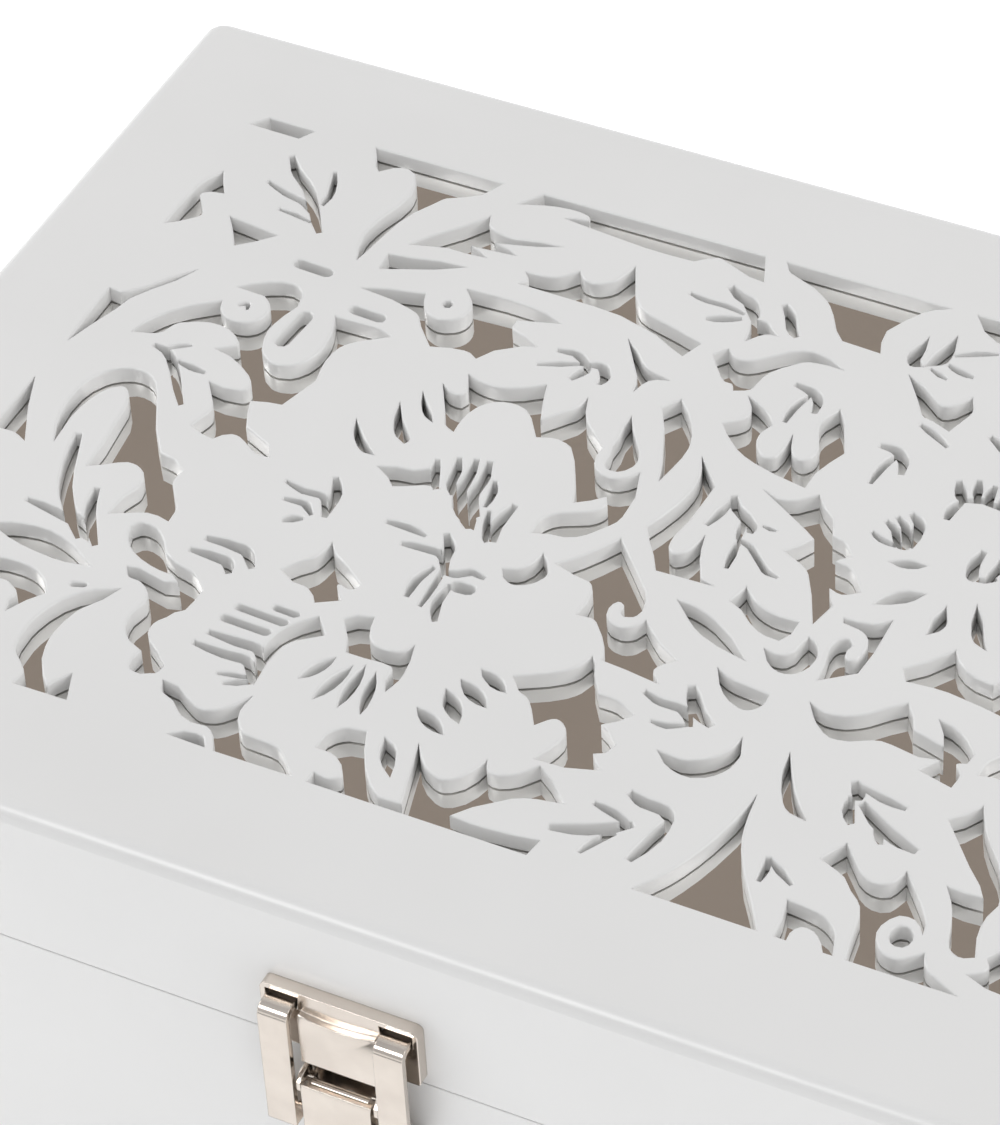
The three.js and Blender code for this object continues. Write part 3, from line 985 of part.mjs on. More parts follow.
// A leaf with its knuckles, drawn for the hinge at x = 0.
function hingeLeaf(side) {
  const half = LEAF_LENGTH / 2;
  const middle = 5;
  const knuckles = side < 0 ? [[-half, -middle - 0.5], [middle + 0.5, half]] : [[-middle, middle]];
  const [z0, z1] = [leafFace(side), leafFace(side) + side * LEAF_THICK].sort((a, b) => a - b);
  const axis = [HINGE_AXIS_Y, HINGE_AXIS_Z];
  const pieces = [block(-half, half, BACK - LEAF_REACH, BACK - 0.2, z0, z1)];
  knuckles.forEach(([x0, x1]) => {
    pieces.push(block(x0, x1, BACK - 1, HINGE_AXIS_Y - BORE / 2, z0, z1));
    pieces.push(rodX(BARREL, x0, x1, ...axis, 24));
  });
  pieces.push(...(side < 0 ? stopBar() : [stopLug()]));
  const bores = knuckles.map(([x0, x1]) => rodX(BORE, x0 - 1, x1 + 1, ...axis, 24));
  const holes = [-1, 1].map((end) => screw(FIT / 2).applyMatrix4(
    placeAt(end * SCREW_SPREAD, BACK - LEAF_REACH / 2, leafFace(side), side < 0 ? 0 : Math.PI)));
  return join(...pieces).subtract(join(...bores, ...holes));
}

// The lug on the lid's knuckle meets the bar behind the body's knuckles when the lid is open.

function aroundHinge(geometry, degrees) {
  const turn = THREE.MathUtils.degToRad(degrees);
  return geometry.rotateX(turn).translate(0, HINGE_AXIS_Y, HINGE_AXIS_Z);
}

function stopLug() {
  return aroundHinge(block(-2.5, 2.5, 1.6, STOP_REACH, -STOP_HALF, STOP_HALF), 106);
}

function stopBar() {
  const bar = block(-8.5, 8.5, BARREL + 0.3, STOP_REACH, -STOP_HALF, STOP_HALF);
  const tab = (x) => block(x - 1.5, x + 1.5, 1.6, BARREL + 0.4, -STOP_HALF, STOP_HALF);
  return [bar, tab(-7), tab(7)].map((piece) => aroundHinge(piece, -20));
}

function addHinges() {
  [-1, 1].forEach((hinge) => {
    const name = hinge < 0 ? 'left' : 'right';
    const x = hinge * HINGE_X;
    add(`hinge_${name}_body_leaf`, toGeometry(hingeLeaf(-1)).translate(x, 0, 0), nickel);
    add(`hinge_${name}_lid_leaf`, toGeometry(hingeLeaf(1)).translate(x, 0, 0), nickel);
    const half = LEAF_LENGTH / 2;
    add(`hinge_${name}_pin`, rodX(HINGE_PIN, x - half, x + half, HINGE_AXIS_Y, HINGE_AXIS_Z),
      nickel);
  });
  const ends = ['left_a', 'left_b', 'right_a', 'right_b'];
  ends.forEach((end, index) => {
    add(`hinge_${end}_body_screw`, slotted(hingeScrewPlaces(-1)[index]), nickel);
    add(`hinge_${end}_lid_screw`, slotted(hingeScrewPlaces(1)[index]), nickel);
  });
}

// ---------- latch ----------
// The latch is drawn about x = 0 and moved to LATCH_X. Heights are measured from LATCH_RISE above
// the seam, and out is the distance in front of the front face.

const seamZ = (z) => SEAM_MIDDLE + LATCH_RISE + z;
const outY = (out) => FRONT - out;

function sheetFront(shape, out0, out1) {
  return frontwise(shape, outY(out1), outY(out0)).translate(0, 0, seamZ(0));
}

// A strip seen from its end, as [out, height] points, extruded from x0 to x1.
function strip(points, x0, x1) {
  const shape = polygon(points.map(([out, z]) => [outY(out), seamZ(z)]));
  return crosswise(shape, x0, x1);
}

function latchRod(radius, x0, x1, out, z) {
  return rodX(radius, x0, x1, outY(out), seamZ(z), 20);
}

const KEEPER_SCREWS = [[-3.8, 3.6], [3.8, 3.6]];
const PLATE_SCREWS = [[0, -10.2], [0, -18.4]];
const TONGUE_OUT = 3.4;
const TONGUE_HALF = 6.6;

// The keeper's screws come from inside the lid, so their heads face back into it.
function keeperScrewPlaces() {
  return KEEPER_SCREWS.map(([x, z]) => placeAt(x, FRONT + WALL, seamZ(z), -Math.PI / 2));
}

function plateScrewPlaces() {
  return PLATE_SCREWS.map(([x, z]) => placeAt(x, outY(PLATE_SHEET), seamZ(z), Math.PI / 2));
}

function keeperScrews(grow) {
  return keeperScrewPlaces().map((place) => screw(grow, KEEPER_SCREW_LENGTH).applyMatrix4(place));
}

function plateScrews(grow) {
  return plateScrewPlaces().map((place) => screw(grow).applyMatrix4(place));
}

function atLatch(geometry) {
  return geometry.translate(LATCH_X, 0, 0);
}

function keeper() {
  const half = KEEPER_WIDTH / 2;
  const [low, high] = [0.8, 12.4];
  const back = KEEPER_PROUD - KEEPER_SHEET;
  const outside = sheetFront(roundedPlate(-half, low, half, high, [0.5, 0.5, 1.2, 1.2]), 0,
    KEEPER_PROUD);
  const inset = half - KEEPER_SHEET;
  const inside = sheetFront(roundedPlate(-inset, low - 1, inset, high - KEEPER_SHEET,
    [0, 0, 0.4, 0.4]), -1, back);
  const side = TONGUE_HALF;
  const outline = new THREE.Shape().moveTo(-side, -3).lineTo(side, -3).lineTo(side, 8.9);
  outline.quadraticCurveTo(0, 7.3, -side, 8.9);
  const tongue = toSolid(strip([[1.3, -2.4], [2.4, -2.4], [TONGUE_OUT, -1.6], [TONGUE_OUT, 8.5],
    [TONGUE_OUT - 0.3, 8.9], [1.3, 8.9]], -side, side))
    .intersect(toSolid(sheetFront(outline, 0, 9)));
  const bosses = [-1, 1].map((side) => strip([[0, 0.9], [2, 0.9], [2, 6], [0, 6]],
    side * 3.8 - 2.6, side * 3.8 + 2.6));
  const window = (side) => {
    const at = (x, z) => [side * x, z];
    const upper = polygon([at(7.2, 8.8), at(12.6, 8.8), at(12.6, 11.4), at(6.9, 11.4)]);
    return sheetFront(upper, -0.2, 3);
  };
  const shell = cut(outside, inside, window(-1), window(1));
  return shell.add(tongue).add(join(...bosses)).subtract(join(...keeperScrews(FIT / 2)));
}

function basePlate() {
  const plate = sheetFront(roundedPlate(-EAR_OUTER, -22, EAR_OUTER, -1.6, [2.5, 2.5, 1, 1]), 0,
    PLATE_SHEET);
  const ear = [[0.4, PIVOT_Z - 2.6], [PIVOT_OUT + 0.6, PIVOT_Z - 1.9],
    [PIVOT_OUT + 1.6, PIVOT_Z - 0.8], [PIVOT_OUT + 1.6, PIVOT_Z + 0.8],
    [PIVOT_OUT + 0.6, PIVOT_Z + 1.9], [0.4, PIVOT_Z + 2.6]];
  const ears = [strip(ear, -EAR_OUTER, -EAR_INNER), strip(ear, EAR_INNER, EAR_OUTER)];
  const bore = latchRod(LATCH_PIN + 0.1, -9, 9, PIVOT_OUT, PIVOT_Z);
  return join(plate, ...ears).subtract(join(bore, ...plateScrews(FIT / 2)));
}

function lever() {
  const half = LEVER_WIDTH / 2;
  const top = PIVOT_Z + 1;
  const tab = [[4.3, top], [4.3, -22.6], [4.9, -24.6], [6.2, -25.8], [TAB_PROUD, -25.4],
    [TAB_PROUD - 0.2, -24.4], [6.4, -24.6], [5.7, -23.8], [5.5, -22.4], [5.5, -6], [5.2, top]];
  const flange = [[1.6, top], [1.6, -14.4], [2.4, -15.2], [4.5, -15.2], [4.5, top]];
  const face = strip(tab, -half, half);
  const flanges = [strip(flange, -half, 1 - half), strip(flange, half - 1, half)];
  const bores = [latchRod(LATCH_PIN + 0.1, -half - 1, half + 1, PIVOT_OUT, PIVOT_Z),
    latchRod(LATCH_PIN + 0.1, -half - 1, half + 1, ARM_PIN_OUT, ARM_PIN_Z)];
  const trim = sheetFront(roundedPlate(-half, -27, half, top + 1, [3, 3, 0, 0]), 0, 9);
  return join(face, ...flanges).subtract(join(...bores)).intersect(toSolid(trim));
}

// An arm climbs from its pin on the lever to the hook that rests on the keeper's crossbar.
function arm(side) {
  const back = ARM_PROUD - ARM_SHEET;
  const hook = ARM_TOP - ARM_SHEET;
  const line = [[ARM_PROUD, -15], [ARM_PROUD, ARM_TOP - 1.8], [ARM_PROUD - 0.3, ARM_TOP - 0.8],
    [ARM_PROUD - 1, ARM_TOP - 0.15], [ARM_PROUD - 2, ARM_TOP], [HOOK_BACK, ARM_TOP],
    [HOOK_BACK, hook], [back - 0.8, hook], [back, hook - 0.7], [back, -10.6], [ARM_PIN_OUT, -11.1],
    [ARM_PIN_OUT - 1.3, -11.6], [ARM_PIN_OUT - 1.9, ARM_PIN_Z], [ARM_PIN_OUT - 1.3, -14.4],
    [ARM_PIN_OUT, -15]];
  const x = side * ARM_X;
  const bar = strip(line, x - ARM_WIDTH / 2, x + ARM_WIDTH / 2);
  return cut(bar, latchRod(LATCH_PIN + 0.1, x - 4, x + 4, ARM_PIN_OUT, ARM_PIN_Z));
}

function addLatchPiece(name, shape) {
  const geometry = shape.isBufferGeometry ? shape : toGeometry(shape);
  add(name, atLatch(geometry), nickel);
}

function addLatch() {
  const pinHalf = ARM_X + ARM_WIDTH / 2 + 0.2;
  addLatchPiece('latch_keeper', keeper());
  addLatchPiece('latch_base_plate', basePlate());
  addLatchPiece('latch_lever', lever());
  addLatchPiece('latch_arm_left', arm(-1));
  addLatchPiece('latch_arm_right', arm(1));
  addLatchPiece('latch_pivot_pin', latchRod(LATCH_PIN, -EAR_OUTER, EAR_OUTER, PIVOT_OUT, PIVOT_Z));
  addLatchPiece('latch_arm_pin', latchRod(LATCH_PIN, -pinHalf, pinHalf, ARM_PIN_OUT, ARM_PIN_Z));
  const [left, right] = keeperScrewPlaces();
  addLatchPiece('keeper_screw_left', slotted(left, KEEPER_SCREW_LENGTH));
  addLatchPiece('keeper_screw_right', slotted(right, KEEPER_SCREW_LENGTH));
  const [upper, lower] = plateScrewPlaces();
  addLatchPiece('latch_plate_screw_upper', slotted(upper));
  addLatchPiece('latch_plate_screw_lower', slotted(lower));
}

addLid();
addBody();
addHinges();
addLatch();

export default box;
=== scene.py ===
"""The look of a wedding card box: white lacquered board, a fretwork lid over a mirror, and a
nickel-plated latch, in a bright studio. Metres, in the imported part's own frame."""

import json
import math
import random

import bmesh
import bpy
from mathutils import Matrix, Vector


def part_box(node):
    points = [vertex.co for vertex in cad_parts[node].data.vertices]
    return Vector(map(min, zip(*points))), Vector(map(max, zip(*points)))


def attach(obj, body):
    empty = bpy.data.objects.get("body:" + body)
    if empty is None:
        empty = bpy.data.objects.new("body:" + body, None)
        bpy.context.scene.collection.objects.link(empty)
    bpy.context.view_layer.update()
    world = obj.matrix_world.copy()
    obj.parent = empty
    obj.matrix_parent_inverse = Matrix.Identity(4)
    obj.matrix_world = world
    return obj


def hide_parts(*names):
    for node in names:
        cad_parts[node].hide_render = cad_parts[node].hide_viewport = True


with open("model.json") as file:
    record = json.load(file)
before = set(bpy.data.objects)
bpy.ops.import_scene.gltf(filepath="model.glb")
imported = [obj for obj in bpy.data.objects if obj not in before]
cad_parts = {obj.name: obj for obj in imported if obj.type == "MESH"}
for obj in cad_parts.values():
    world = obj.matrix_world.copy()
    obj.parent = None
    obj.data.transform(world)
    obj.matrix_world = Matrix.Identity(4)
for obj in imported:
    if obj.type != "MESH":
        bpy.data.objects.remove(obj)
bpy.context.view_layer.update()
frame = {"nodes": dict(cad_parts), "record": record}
nodes = frame["nodes"]

MM = 0.001
SEED = 11

PANEL_LOW, PANEL_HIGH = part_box("lid_fretwork_panel")
MIRROR_LOW, MIRROR_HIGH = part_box("lid_mirror")
FELT_LOW, FELT_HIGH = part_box("body_felt_lining")
RAIL_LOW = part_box("lid_rail_front")[0]
WALL_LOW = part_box("body_wall_front")[0]
CENTRE = Vector((0.0, (PANEL_LOW[1] + PANEL_HIGH[1]) / 2, 0.0))

FILM = 0.25 * MM
FRET_ROUND = 0.35 * MM
ROUND_STEPS = 3
EDGE_SOFTNESS = 0.6 * MM
EDGE_REACH = 1.2 * MM
SMOOTH_ANGLE = math.radians(38)
MERGE_WITHIN = 0.001 * MM
LEVEL = 0.999
UPRIGHT = 0.05
SHARPEST_RIM = 0.45

# ---------- shader helpers ----------


def new_material(name):
    material = bpy.data.materials.new(name)
    material.use_nodes = True
    tree = material.node_tree
    shader = tree.nodes["Principled BSDF"]
    return material, tree, shader


def node(tree, kind, **inputs):
    made = tree.nodes.new(kind)
    for key, value in inputs.items():
        made.inputs[key.replace("_", " ")].default_value = value
    return made


def grain(tree, scale, detail=3.0, roughness=0.5, stretch=(1.0, 1.0, 1.0)):
    """Noise measured in the piece's own metres, so it keeps its size on every piece."""
    place = tree.nodes.new("ShaderNodeTexCoord")
    shape = node(tree, "ShaderNodeMapping", Scale=stretch)
    noise = node(tree, "ShaderNodeTexNoise", Scale=scale, Detail=detail, Roughness=roughness)
    tree.links.new(place.outputs["Object"], shape.inputs["Vector"])
    tree.links.new(shape.outputs["Vector"], noise.inputs["Vector"])
    return noise.outputs["Fac"]


def spread(tree, source, low, high):
    span = node(tree, "ShaderNodeMapRange", From_Min=0.3, From_Max=0.7, To_Min=low, To_Max=high)
    tree.links.new(source, span.inputs["Value"])
    return span.outputs["Result"]


def tinted(tree, source, first, second):
    ramp = tree.nodes.new("ShaderNodeValToRGB")
    ramp.color_ramp.elements[0].position = 0.32
    ramp.color_ramp.elements[1].position = 0.68
    ramp.color_ramp.elements[0].color = (*first, 1)
    ramp.color_ramp.elements[1].color = (*second, 1)
    tree.links.new(source, ramp.inputs["Fac"])
    return ramp.outputs["Color"]


def soft_edges(tree, radius, heights=()):
    """The normal with edges rounded over, everywhere or only close to the given heights."""
    bevel = node(tree, "ShaderNodeBevel", Radius=radius)
    bevel.samples = 8
    if not heights:
        return bevel.outputs["Normal"]
    place = tree.nodes.new("ShaderNodeTexCoord")
    split = tree.nodes.new("ShaderNodeSeparateXYZ")
    tree.links.new(place.outputs["Object"], split.inputs["Vector"])
    normal = tree.nodes.new("ShaderNodeNewGeometry").outputs["Normal"]
    for height in heights:
        near = tree.nodes.new("ShaderNodeMath")
        near.operation = "COMPARE"
        near.inputs[1].default_value = height
        near.inputs[2].default_value = EDGE_REACH
        tree.links.new(split.outputs["Z"], near.inputs[0])
        mix = tree.nodes.new("ShaderNodeMix")
        mix.data_type = "VECTOR"
        tree.links.new(near.outputs["Value"], mix.inputs["Factor"])
        tree.links.new(normal, mix.inputs[4])
        tree.links.new(bevel.outputs["Normal"], mix.inputs[5])
        normal = mix.outputs[1]
    return normal


def relief(tree, layers, normal=None):
    """Stacks bumps, each (noise, height in metres), over a starting normal."""
    for source, height in layers:
        bump = node(tree, "ShaderNodeBump", Strength=1.0, Distance=height)
        tree.links.new(source, bump.inputs["Height"])
        if normal:
            tree.links.new(normal, bump.inputs["Normal"])
        normal = bump.outputs["Normal"]
    return normal


# ---------- materials ----------


def lacquer():
    material, tree, shader = new_material("white_satin_lacquer")
    cloud = grain(tree, 9, 4)
    colour = tinted(tree, cloud, (0.80, 0.797, 0.79), (0.83, 0.827, 0.82))
    tree.links.new(colour, shader.inputs["Base Color"])
    tree.links.new(spread(tree, grain(tree, 60, 4), 0.34, 0.46), shader.inputs["Roughness"])
    shader.inputs["Coat Weight"].default_value = 0.25
    shader.inputs["Coat Roughness"].default_value = 0.18
    layers = [(grain(tree, 900, 2), 0.004 * MM), (grain(tree, 220, 2), 0.006 * MM)]
    heights = (PANEL_HIGH[2], RAIL_LOW[2], WALL_LOW[2])
    edges = soft_edges(tree, EDGE_SOFTNESS, heights)
    tree.links.new(relief(tree, layers, edges), shader.inputs["Normal"])
    return material


def nickel():
    material, tree, shader = new_material("satin_nickel_plate")
    shader.inputs["Metallic"].default_value = 1.0
    colour = tinted(tree, grain(tree, 140, 3), (0.62, 0.56, 0.505), (0.69, 0.63, 0.57))
    tree.links.new(colour, shader.inputs["Base Color"])
    tree.links.new(spread(tree, grain(tree, 300, 3), 0.14, 0.22), shader.inputs["Roughness"])
    layers = [(grain(tree, 180, 2), 0.012 * MM)]
    edges = soft_edges(tree, 0.35 * MM)
    tree.links.new(relief(tree, layers, edges), shader.inputs["Normal"])
    return material


def silvering():
    material, tree, shader = new_material("mirror_silvering")
    shader.inputs["Metallic"].default_value = 1.0
    shader.inputs["Roughness"].default_value = 0.03
    colour = tinted(tree, grain(tree, 14, 4), (0.84, 0.83, 0.81), (0.88, 0.87, 0.85))
    tree.links.new(colour, shader.inputs["Base Color"])
    return material


def hardboard():
    material, tree, shader = new_material("pressed_hardboard")
    fibre = grain(tree, 700, 6, 0.7, stretch=(0.35, 1.0, 1.0))
    colour = tinted(tree, fibre, (0.24, 0.155, 0.088), (0.40, 0.28, 0.17))
    tree.links.new(colour, shader.inputs["Base Color"])
    shader.inputs["Roughness"].default_value = 0.75
    layers = [(fibre, 0.05 * MM)]
    tree.links.new(relief(tree, layers), shader.inputs["Normal"])
    return material


def felt_cloth():
    material, tree, shader = new_material("pale_felt")
    fibre = grain(tree, 1400, 8, 0.75)
    clumps = grain(tree, 160, 5, 0.7)
    colour = tinted(tree, clumps, (0.62, 0.585, 0.53), (0.75, 0.72, 0.67))
    tree.links.new(colour, shader.inputs["Base Color"])
    shader.inputs["Roughness"].default_value = 0.95
    shader.inputs["Specular IOR Level"].default_value = 0.15
    shader.inputs["Sheen Weight"].default_value = 0.5
    shader.inputs["Sheen Roughness"].default_value = 0.5
    layers = [(clumps, 0.2 * MM), (fibre, 0.12 * MM)]
    tree.links.new(relief(tree, layers), shader.inputs["Normal"])
    return material


def foot_rubber():
    material, tree, shader = new_material("foot_rubber")
    shader.inputs["Base Color"].default_value = (0.06, 0.056, 0.052, 1)
    tree.links.new(spread(tree, grain(tree, 500, 3), 0.6, 0.8), shader.inputs["Roughness"])
    layers = [(grain(tree, 1200, 3), 0.02 * MM)]
    edges = soft_edges(tree, 0.3 * MM)
    tree.links.new(relief(tree, layers, edges), shader.inputs["Normal"])
    return material


MATERIALS = {
    "lacquer": lacquer(),
    "nickel": nickel(),
    "board": hardboard(),
    "felt": felt_cloth(),
    "rubber": foot_rubber(),
    "mirror": silvering(),
}

# ---------- the part's own pieces ----------


def dress_nodes():
    slots = {row["node"]: row["material_slot"] for row in frame["record"]["subparts"]}
    for name, piece in nodes.items():
        piece.data.materials.clear()
        piece.data.materials.append(MATERIALS[slots[name]])
        piece.data.attributes.remove(piece.data.attributes["custom_normal"])
        piece.data.shade_smooth()
        weld = piece.modifiers.new("weld", "WELD")
        weld.merge_threshold = MERGE_WITHIN
        split = piece.modifiers.new("sharp_edges", "EDGE_SPLIT")
        split.split_angle = SMOOTH_ANGLE


def mesh_piece(name, vertices, faces, material, body):
    mesh = bpy.data.meshes.new(name)
    mesh.from_pydata(vertices, [], faces)
    mesh.materials.append(material)
    mesh.validate()
    piece = bpy.data.objects.new(name, mesh)
    bpy.context.scene.collection.objects.link(piece)
    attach(piece, body)
    return piece


def plate(name, low, high, material, body, chamfer):
    """A flat plate with small ground edges all round."""
    insets = (chamfer, 0.0, 0.0, chamfer)
    heights = (low[2], low[2] + chamfer, high[2] - chamfer, high[2])
    vertices = []
    for amount, z in zip(insets, heights):
        x0, y0 = low[0] + amount, low[1] + amount
        x1, y1 = high[0] - amount, high[1] - amount
        vertices += [(x0, y0, z), (x1, y0, z), (x1, y1, z), (x0, y1, z)]
    faces = [(3, 2, 1, 0), (12, 13, 14, 15)]
    for ring in range(3):
        for side in range(4):
            start, end = ring * 4 + side, ring * 4 + (side + 1) % 4
            faces.append((start, end, end + 4, start + 4))
    return mesh_piece(name, vertices, faces, material, body)


def rim_directions(board, flat):
    """For each corner of a cut-out's upper rim: the way from the opening into the board."""
    walls = {}
    for edge in board.edges:
        upper = [face for face in edge.link_faces if face in flat]
        others = [face for face in edge.link_faces if face not in flat]
        if len(upper) == 1 and len(others) == 1 and abs(others[0].normal.z) < UPRIGHT:
            for vertex in edge.verts:
                walls.setdefault(vertex, []).append(others[0].normal.to_2d())
    return {vertex: -(normals[0] + normals[1]) / max(SHARPEST_RIM, 1 + normals[0].dot(normals[1]))
            for vertex, normals in walls.items() if len(normals) == 2}


def rim_reaches(directions, flat):
    """How far each rim corner is rounded: less where the board is too narrow for more."""
    attempts, less, least_area = 10, 0.6, 1e-10
    reach = {vertex: FRET_ROUND for vertex in directions}
    for _ in range(attempts):
        folded = []
        for face in flat:
            a, b, c = [v.co.to_2d() + directions.get(v, Vector((0, 0))) * reach.get(v, 0)
                       for v in face.verts]
            if (b - a).cross(c - a) < least_area:
                folded.append(face)
        for face in folded:
            for vertex in face.verts:
                if vertex in reach:
                    reach[vertex] *= less
    return reach


def add_fretwork():
    """The fretwork board, with the upper edges of its cut-outs rounded over."""
    board = bmesh.new()
    board.from_mesh(nodes["lid_fretwork_panel"].data)
    bmesh.ops.remove_doubles(board, verts=board.verts, dist=MERGE_WITHIN)
    board.normal_update()
    top = PANEL_HIGH[2]
    flat = {face for face in board.faces
            if face.normal.z > LEVEL and face.calc_center_median().z > top - 0.01 * MM}
    directions = rim_directions(board, flat)
    reach = rim_reaches(directions, flat)
    vertices = [vertex.co.copy() for vertex in board.verts]
    rows = {}
    for vertex, direction in directions.items():
        rows[vertex] = []
        for step in range(ROUND_STEPS + 1):
            turn = math.pi / 2 * step / ROUND_STEPS
            aside = direction * reach[vertex] * (1 - math.cos(turn))
            down = reach[vertex] * (1 - math.sin(turn))
            rows[vertex].append(len(vertices))
            vertices.append(vertex.co + Vector((aside.x, aside.y, -down)))
    faces = []
    for face in board.faces:
        row = -1 if face in flat else 0
        faces.append([rows[v][row] if v in rows else v.index for v in face.verts])
        if face not in flat:
            continue
        for loop in face.loops:
            a, b = loop.vert, loop.link_loop_next.vert
            if a in rows and b in rows and any(f not in flat for f in loop.edge.link_faces):
                for step in range(ROUND_STEPS):
                    faces.append([rows[b][step + 1], rows[a][step + 1], rows[a][step],
                                  rows[b][step]])
    board.free()
    used = sorted({index for face in faces for index in face})
    place = {index: row for row, index in enumerate(used)}
    vertices = [vertices[index] for index in used]
    faces = [[place[index] for index in face] for face in faces]
    piece = mesh_piece("fretwork_board", vertices, faces, MATERIALS["lacquer"], "lid")
    for polygon in piece.data.polygons:
        polygon.use_smooth = not (polygon.normal.z > LEVEL and polygon.center.z > top - 0.01 * MM)
    split = piece.modifiers.new("sharp_edges", "EDGE_SPLIT")
    split.split_angle = SMOOTH_ANGLE
    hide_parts("lid_fretwork_panel")
    return piece


def add_mirror():
    """The silvered face lies a film's thickness below the fretwork board."""
    high = (MIRROR_HIGH[0], MIRROR_HIGH[1], MIRROR_HIGH[2] - FILM)
    sheet = plate("mirror_sheet", MIRROR_LOW, high, MATERIALS["mirror"], "lid",
                  0.2 * MM)
    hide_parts("lid_mirror")
    return sheet


def add_felt():
    """A felt sheet, slightly uneven, thinner and rounded over at its cut edges."""
    rng = random.Random(SEED)
    low, high = Vector(FELT_LOW), Vector(FELT_HIGH)
    columns, rows = 96, 68
    waves = [(rng.uniform(20, 70), rng.uniform(20, 70), rng.uniform(0, 6.3)) for _ in range(7)]
    thick = high.z - low.z
    border = 1.2 * MM

    def height(x, y):
        wave = sum(math.sin(a * x + b * y + c) for a, b, c in waves) / len(waves)
        edge = min(x - low.x, high.x - x, y - low.y, high.y - y)
        fall = min(1.0, max(0.0, edge / border))
        crown = math.sqrt(1 - (1 - fall) ** 2)
        fuzz = rng.uniform(-0.03, 0.0) * MM
        return low.z + thick * (0.45 + 0.45 * crown) + 0.06 * MM * wave + fuzz

    def spaced(index, count, start, end):
        """Even steps, with three close ones at each end for the rounded edge."""
        close = [0.0, 0.2 * MM, 0.6 * MM, border]
        if index < 4:
            return start + close[index]
        if index > count - 4:
            return end - close[count - index]
        return start + border + (end - start - 2 * border) * (index - 3) / (count - 6)

    vertices = []
    for row in range(rows + 1):
        y = spaced(row, rows, low.y, high.y)
        for column in range(columns + 1):
            x = spaced(column, columns, low.x, high.x)
            vertices.append((x, y, height(x, y)))
    top_count = len(vertices)
    wide = columns + 1
    faces = [(r * wide + c, r * wide + c + 1, (r + 1) * wide + c + 1, (r + 1) * wide + c)
             for r in range(rows) for c in range(columns)]
    rim = list(range(columns))
    rim += [r * wide + columns for r in range(rows)]
    rim += [rows * wide + c for c in range(columns, 0, -1)]
    rim += [r * wide for r in range(rows, 0, -1)]
    vertices += [(vertices[i][0], vertices[i][1], low.z) for i in rim]
    count = len(rim)
    for i in range(count):
        j = (i + 1) % count
        faces.append((rim[j], rim[i], top_count + i, top_count + j))
    faces.append(tuple(top_count + i for i in reversed(range(count))))
    felt = mesh_piece("felt_floor_sheet", vertices, faces, MATERIALS["felt"], "body")
    felt.data.shade_smooth()
    felt.data.set_sharp_from_angle(angle=math.radians(60))
    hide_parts("body_felt_lining")
    return felt


# ---------- studio ----------

CAMERA_PLACE = Vector((0.2631, -0.5235, 0.6529)) + CENTRE
CAMERA_RIGHT = Vector((0.8942, 0.4454, -0.044))
CAMERA_FORWARD = Vector((-0.3523, 0.6399, -0.6829))
LENS = 158.9
SENSOR = 36
KEY_PLACE = Vector((-1.35, 0.05, 0.85))
FILL_PLACE = Vector((1.3, 0.25, 0.9))
SHINE_PLACE = Vector((-0.6, -1.15, 1.08))
WORLD_LIGHT = 0.63
KEY_WATTS = 8.0
FILL_WATTS = 7.5
SHINE_WATTS = 10.0


def aim(place, target):
    direction = (Vector(target) - Vector(place)).normalized()
    return direction.to_track_quat("-Z", "Y").to_matrix().to_4x4()


def add_light(name, place, size, watts, colour=(1, 1, 1)):
    data = bpy.data.lights.new(name, "AREA")
    data.shape = "RECTANGLE"
    data.size, data.size_y = size
    data.energy = watts
    data.color = colour
    lamp = bpy.data.objects.new(name, data)
    lamp.matrix_world = Matrix.Translation(place) @ aim(place, CENTRE + Vector((0, 0, 0.08)))
    bpy.context.scene.collection.objects.link(lamp)
    return lamp


def stage_plane(name, place, size, material, face_object=False):
    bpy.ops.mesh.primitive_plane_add(size=1)
    plane = bpy.context.object
    plane.name = name
    plane.data.materials.append(material)
    turn = aim(place, CENTRE + Vector((0, 0, 0.1))) if face_object else Matrix()
    plane.matrix_world = Matrix.Translation(place) @ turn @ Matrix.Diagonal((*size, 1, 1))
    return plane


def flat_material(name, colour, emission=0.0):
    material, _, shader = new_material(name)
    shader.inputs["Base Color"].default_value = (*colour, 1)
    shader.inputs["Roughness"].default_value = 0.9
    shader.inputs["Specular IOR Level"].default_value = 0.1
    shader.inputs["Emission Color"].default_value = (*colour, 1)
    shader.inputs["Emission Strength"].default_value = emission
    return material


def only_reflected(card):
    card.visible_camera = False
    card.visible_diffuse = False
    card.visible_shadow = False


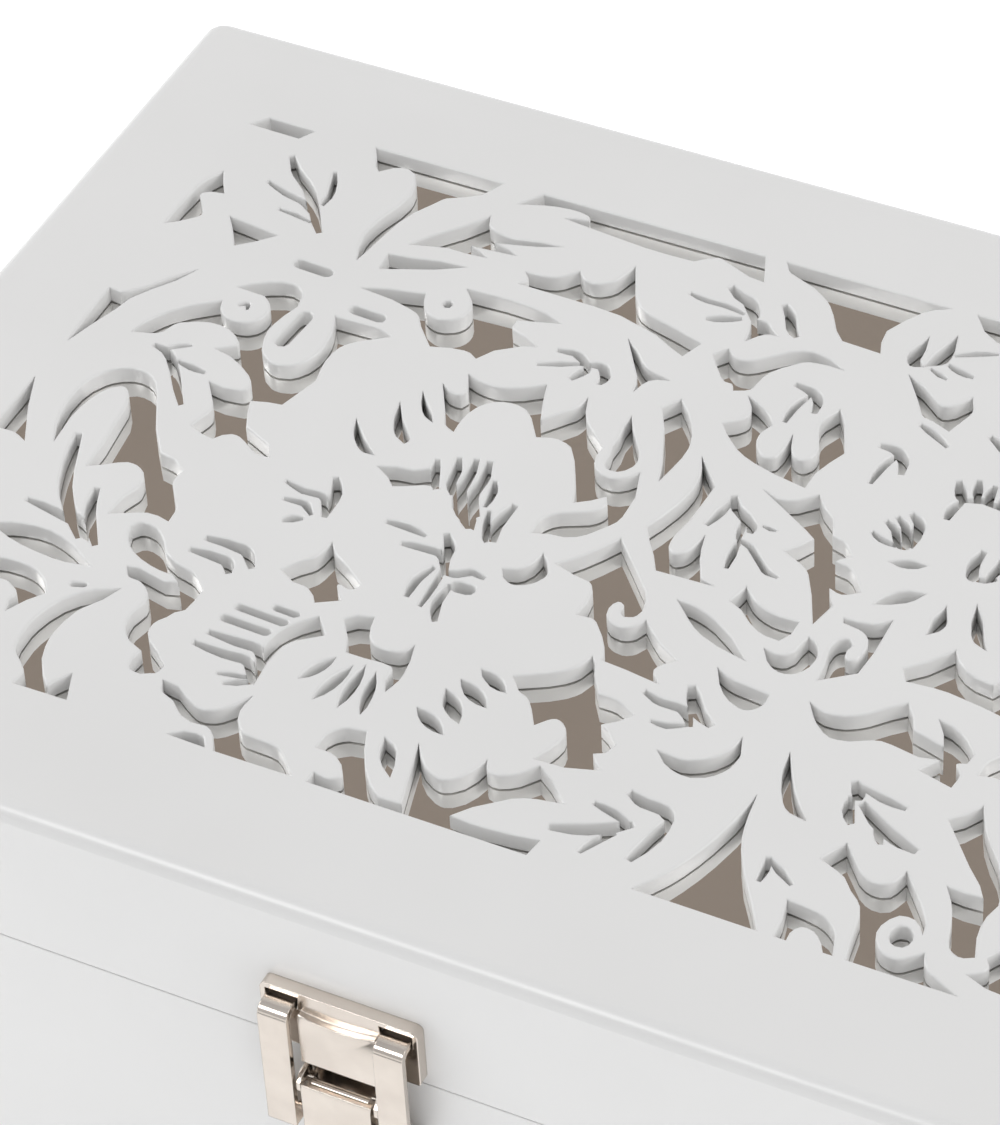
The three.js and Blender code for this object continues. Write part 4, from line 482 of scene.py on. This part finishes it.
def add_studio():
    floor = flat_material("floor_white", (0.9, 0.9, 0.9), 0.45)
    stage_plane("studio_floor", Vector((0, 0, 0)), (6, 6), floor)
    card = flat_material("warm_dark_card", (0.165, 0.14, 0.12), 0.75)
    flag = stage_plane("reflection_card", Vector((-0.75, 1.25, 1.45)), (2.0, 1.5), card, True)
    only_reflected(flag)
    dark = flat_material("dark_strip", (0.08, 0.07, 0.06))
    strip = stage_plane("reflection_strip", Vector((-0.12, -0.36, 0.002)), (0.6, 0.1), dark)
    only_reflected(strip)
    add_light("key_left", KEY_PLACE, (0.8, 0.6), KEY_WATTS)
    add_light("fill_right", FILL_PLACE, (0.9, 0.7), FILL_WATTS,
              (1, 0.995, 0.985))
    shine = add_light("front_shine", SHINE_PLACE, (0.8, 0.5), SHINE_WATTS)
    shine.visible_diffuse = False
    world = bpy.data.worlds.new("studio")
    world.use_nodes = True
    tree = world.node_tree
    tree.nodes.clear()
    seen = node(tree, "ShaderNodeBackground", Color=(1, 1, 1, 1), Strength=1.0)
    light = node(tree, "ShaderNodeBackground", Color=(0.985, 0.99, 1, 1), Strength=WORLD_LIGHT)
    path = tree.nodes.new("ShaderNodeLightPath")
    mix = tree.nodes.new("ShaderNodeMixShader")
    output = tree.nodes.new("ShaderNodeOutputWorld")
    tree.links.new(path.outputs["Is Camera Ray"], mix.inputs["Fac"])
    tree.links.new(light.outputs["Background"], mix.inputs[1])
    tree.links.new(seen.outputs["Background"], mix.inputs[2])
    tree.links.new(mix.outputs["Shader"], output.inputs["Surface"])
    bpy.context.scene.world = world


def add_camera():
    data = bpy.data.cameras.new("camera")
    data.lens = LENS
    data.sensor_width = SENSOR
    data.sensor_fit = "AUTO"
    data.clip_start = 0.01
    camera = bpy.data.objects.new("camera", data)
    up = CAMERA_RIGHT.cross(CAMERA_FORWARD).normalized()
    axes = Matrix((CAMERA_RIGHT, up, -CAMERA_FORWARD)).transposed().to_4x4()
    camera.matrix_world = Matrix.Translation(CAMERA_PLACE) @ axes
    bpy.context.scene.collection.objects.link(camera)
    bpy.context.scene.camera = camera


dress_nodes()
add_fretwork()
add_mirror()
add_felt()
add_studio()
add_camera()
bpy.context.scene.view_settings.view_transform = "Standard"
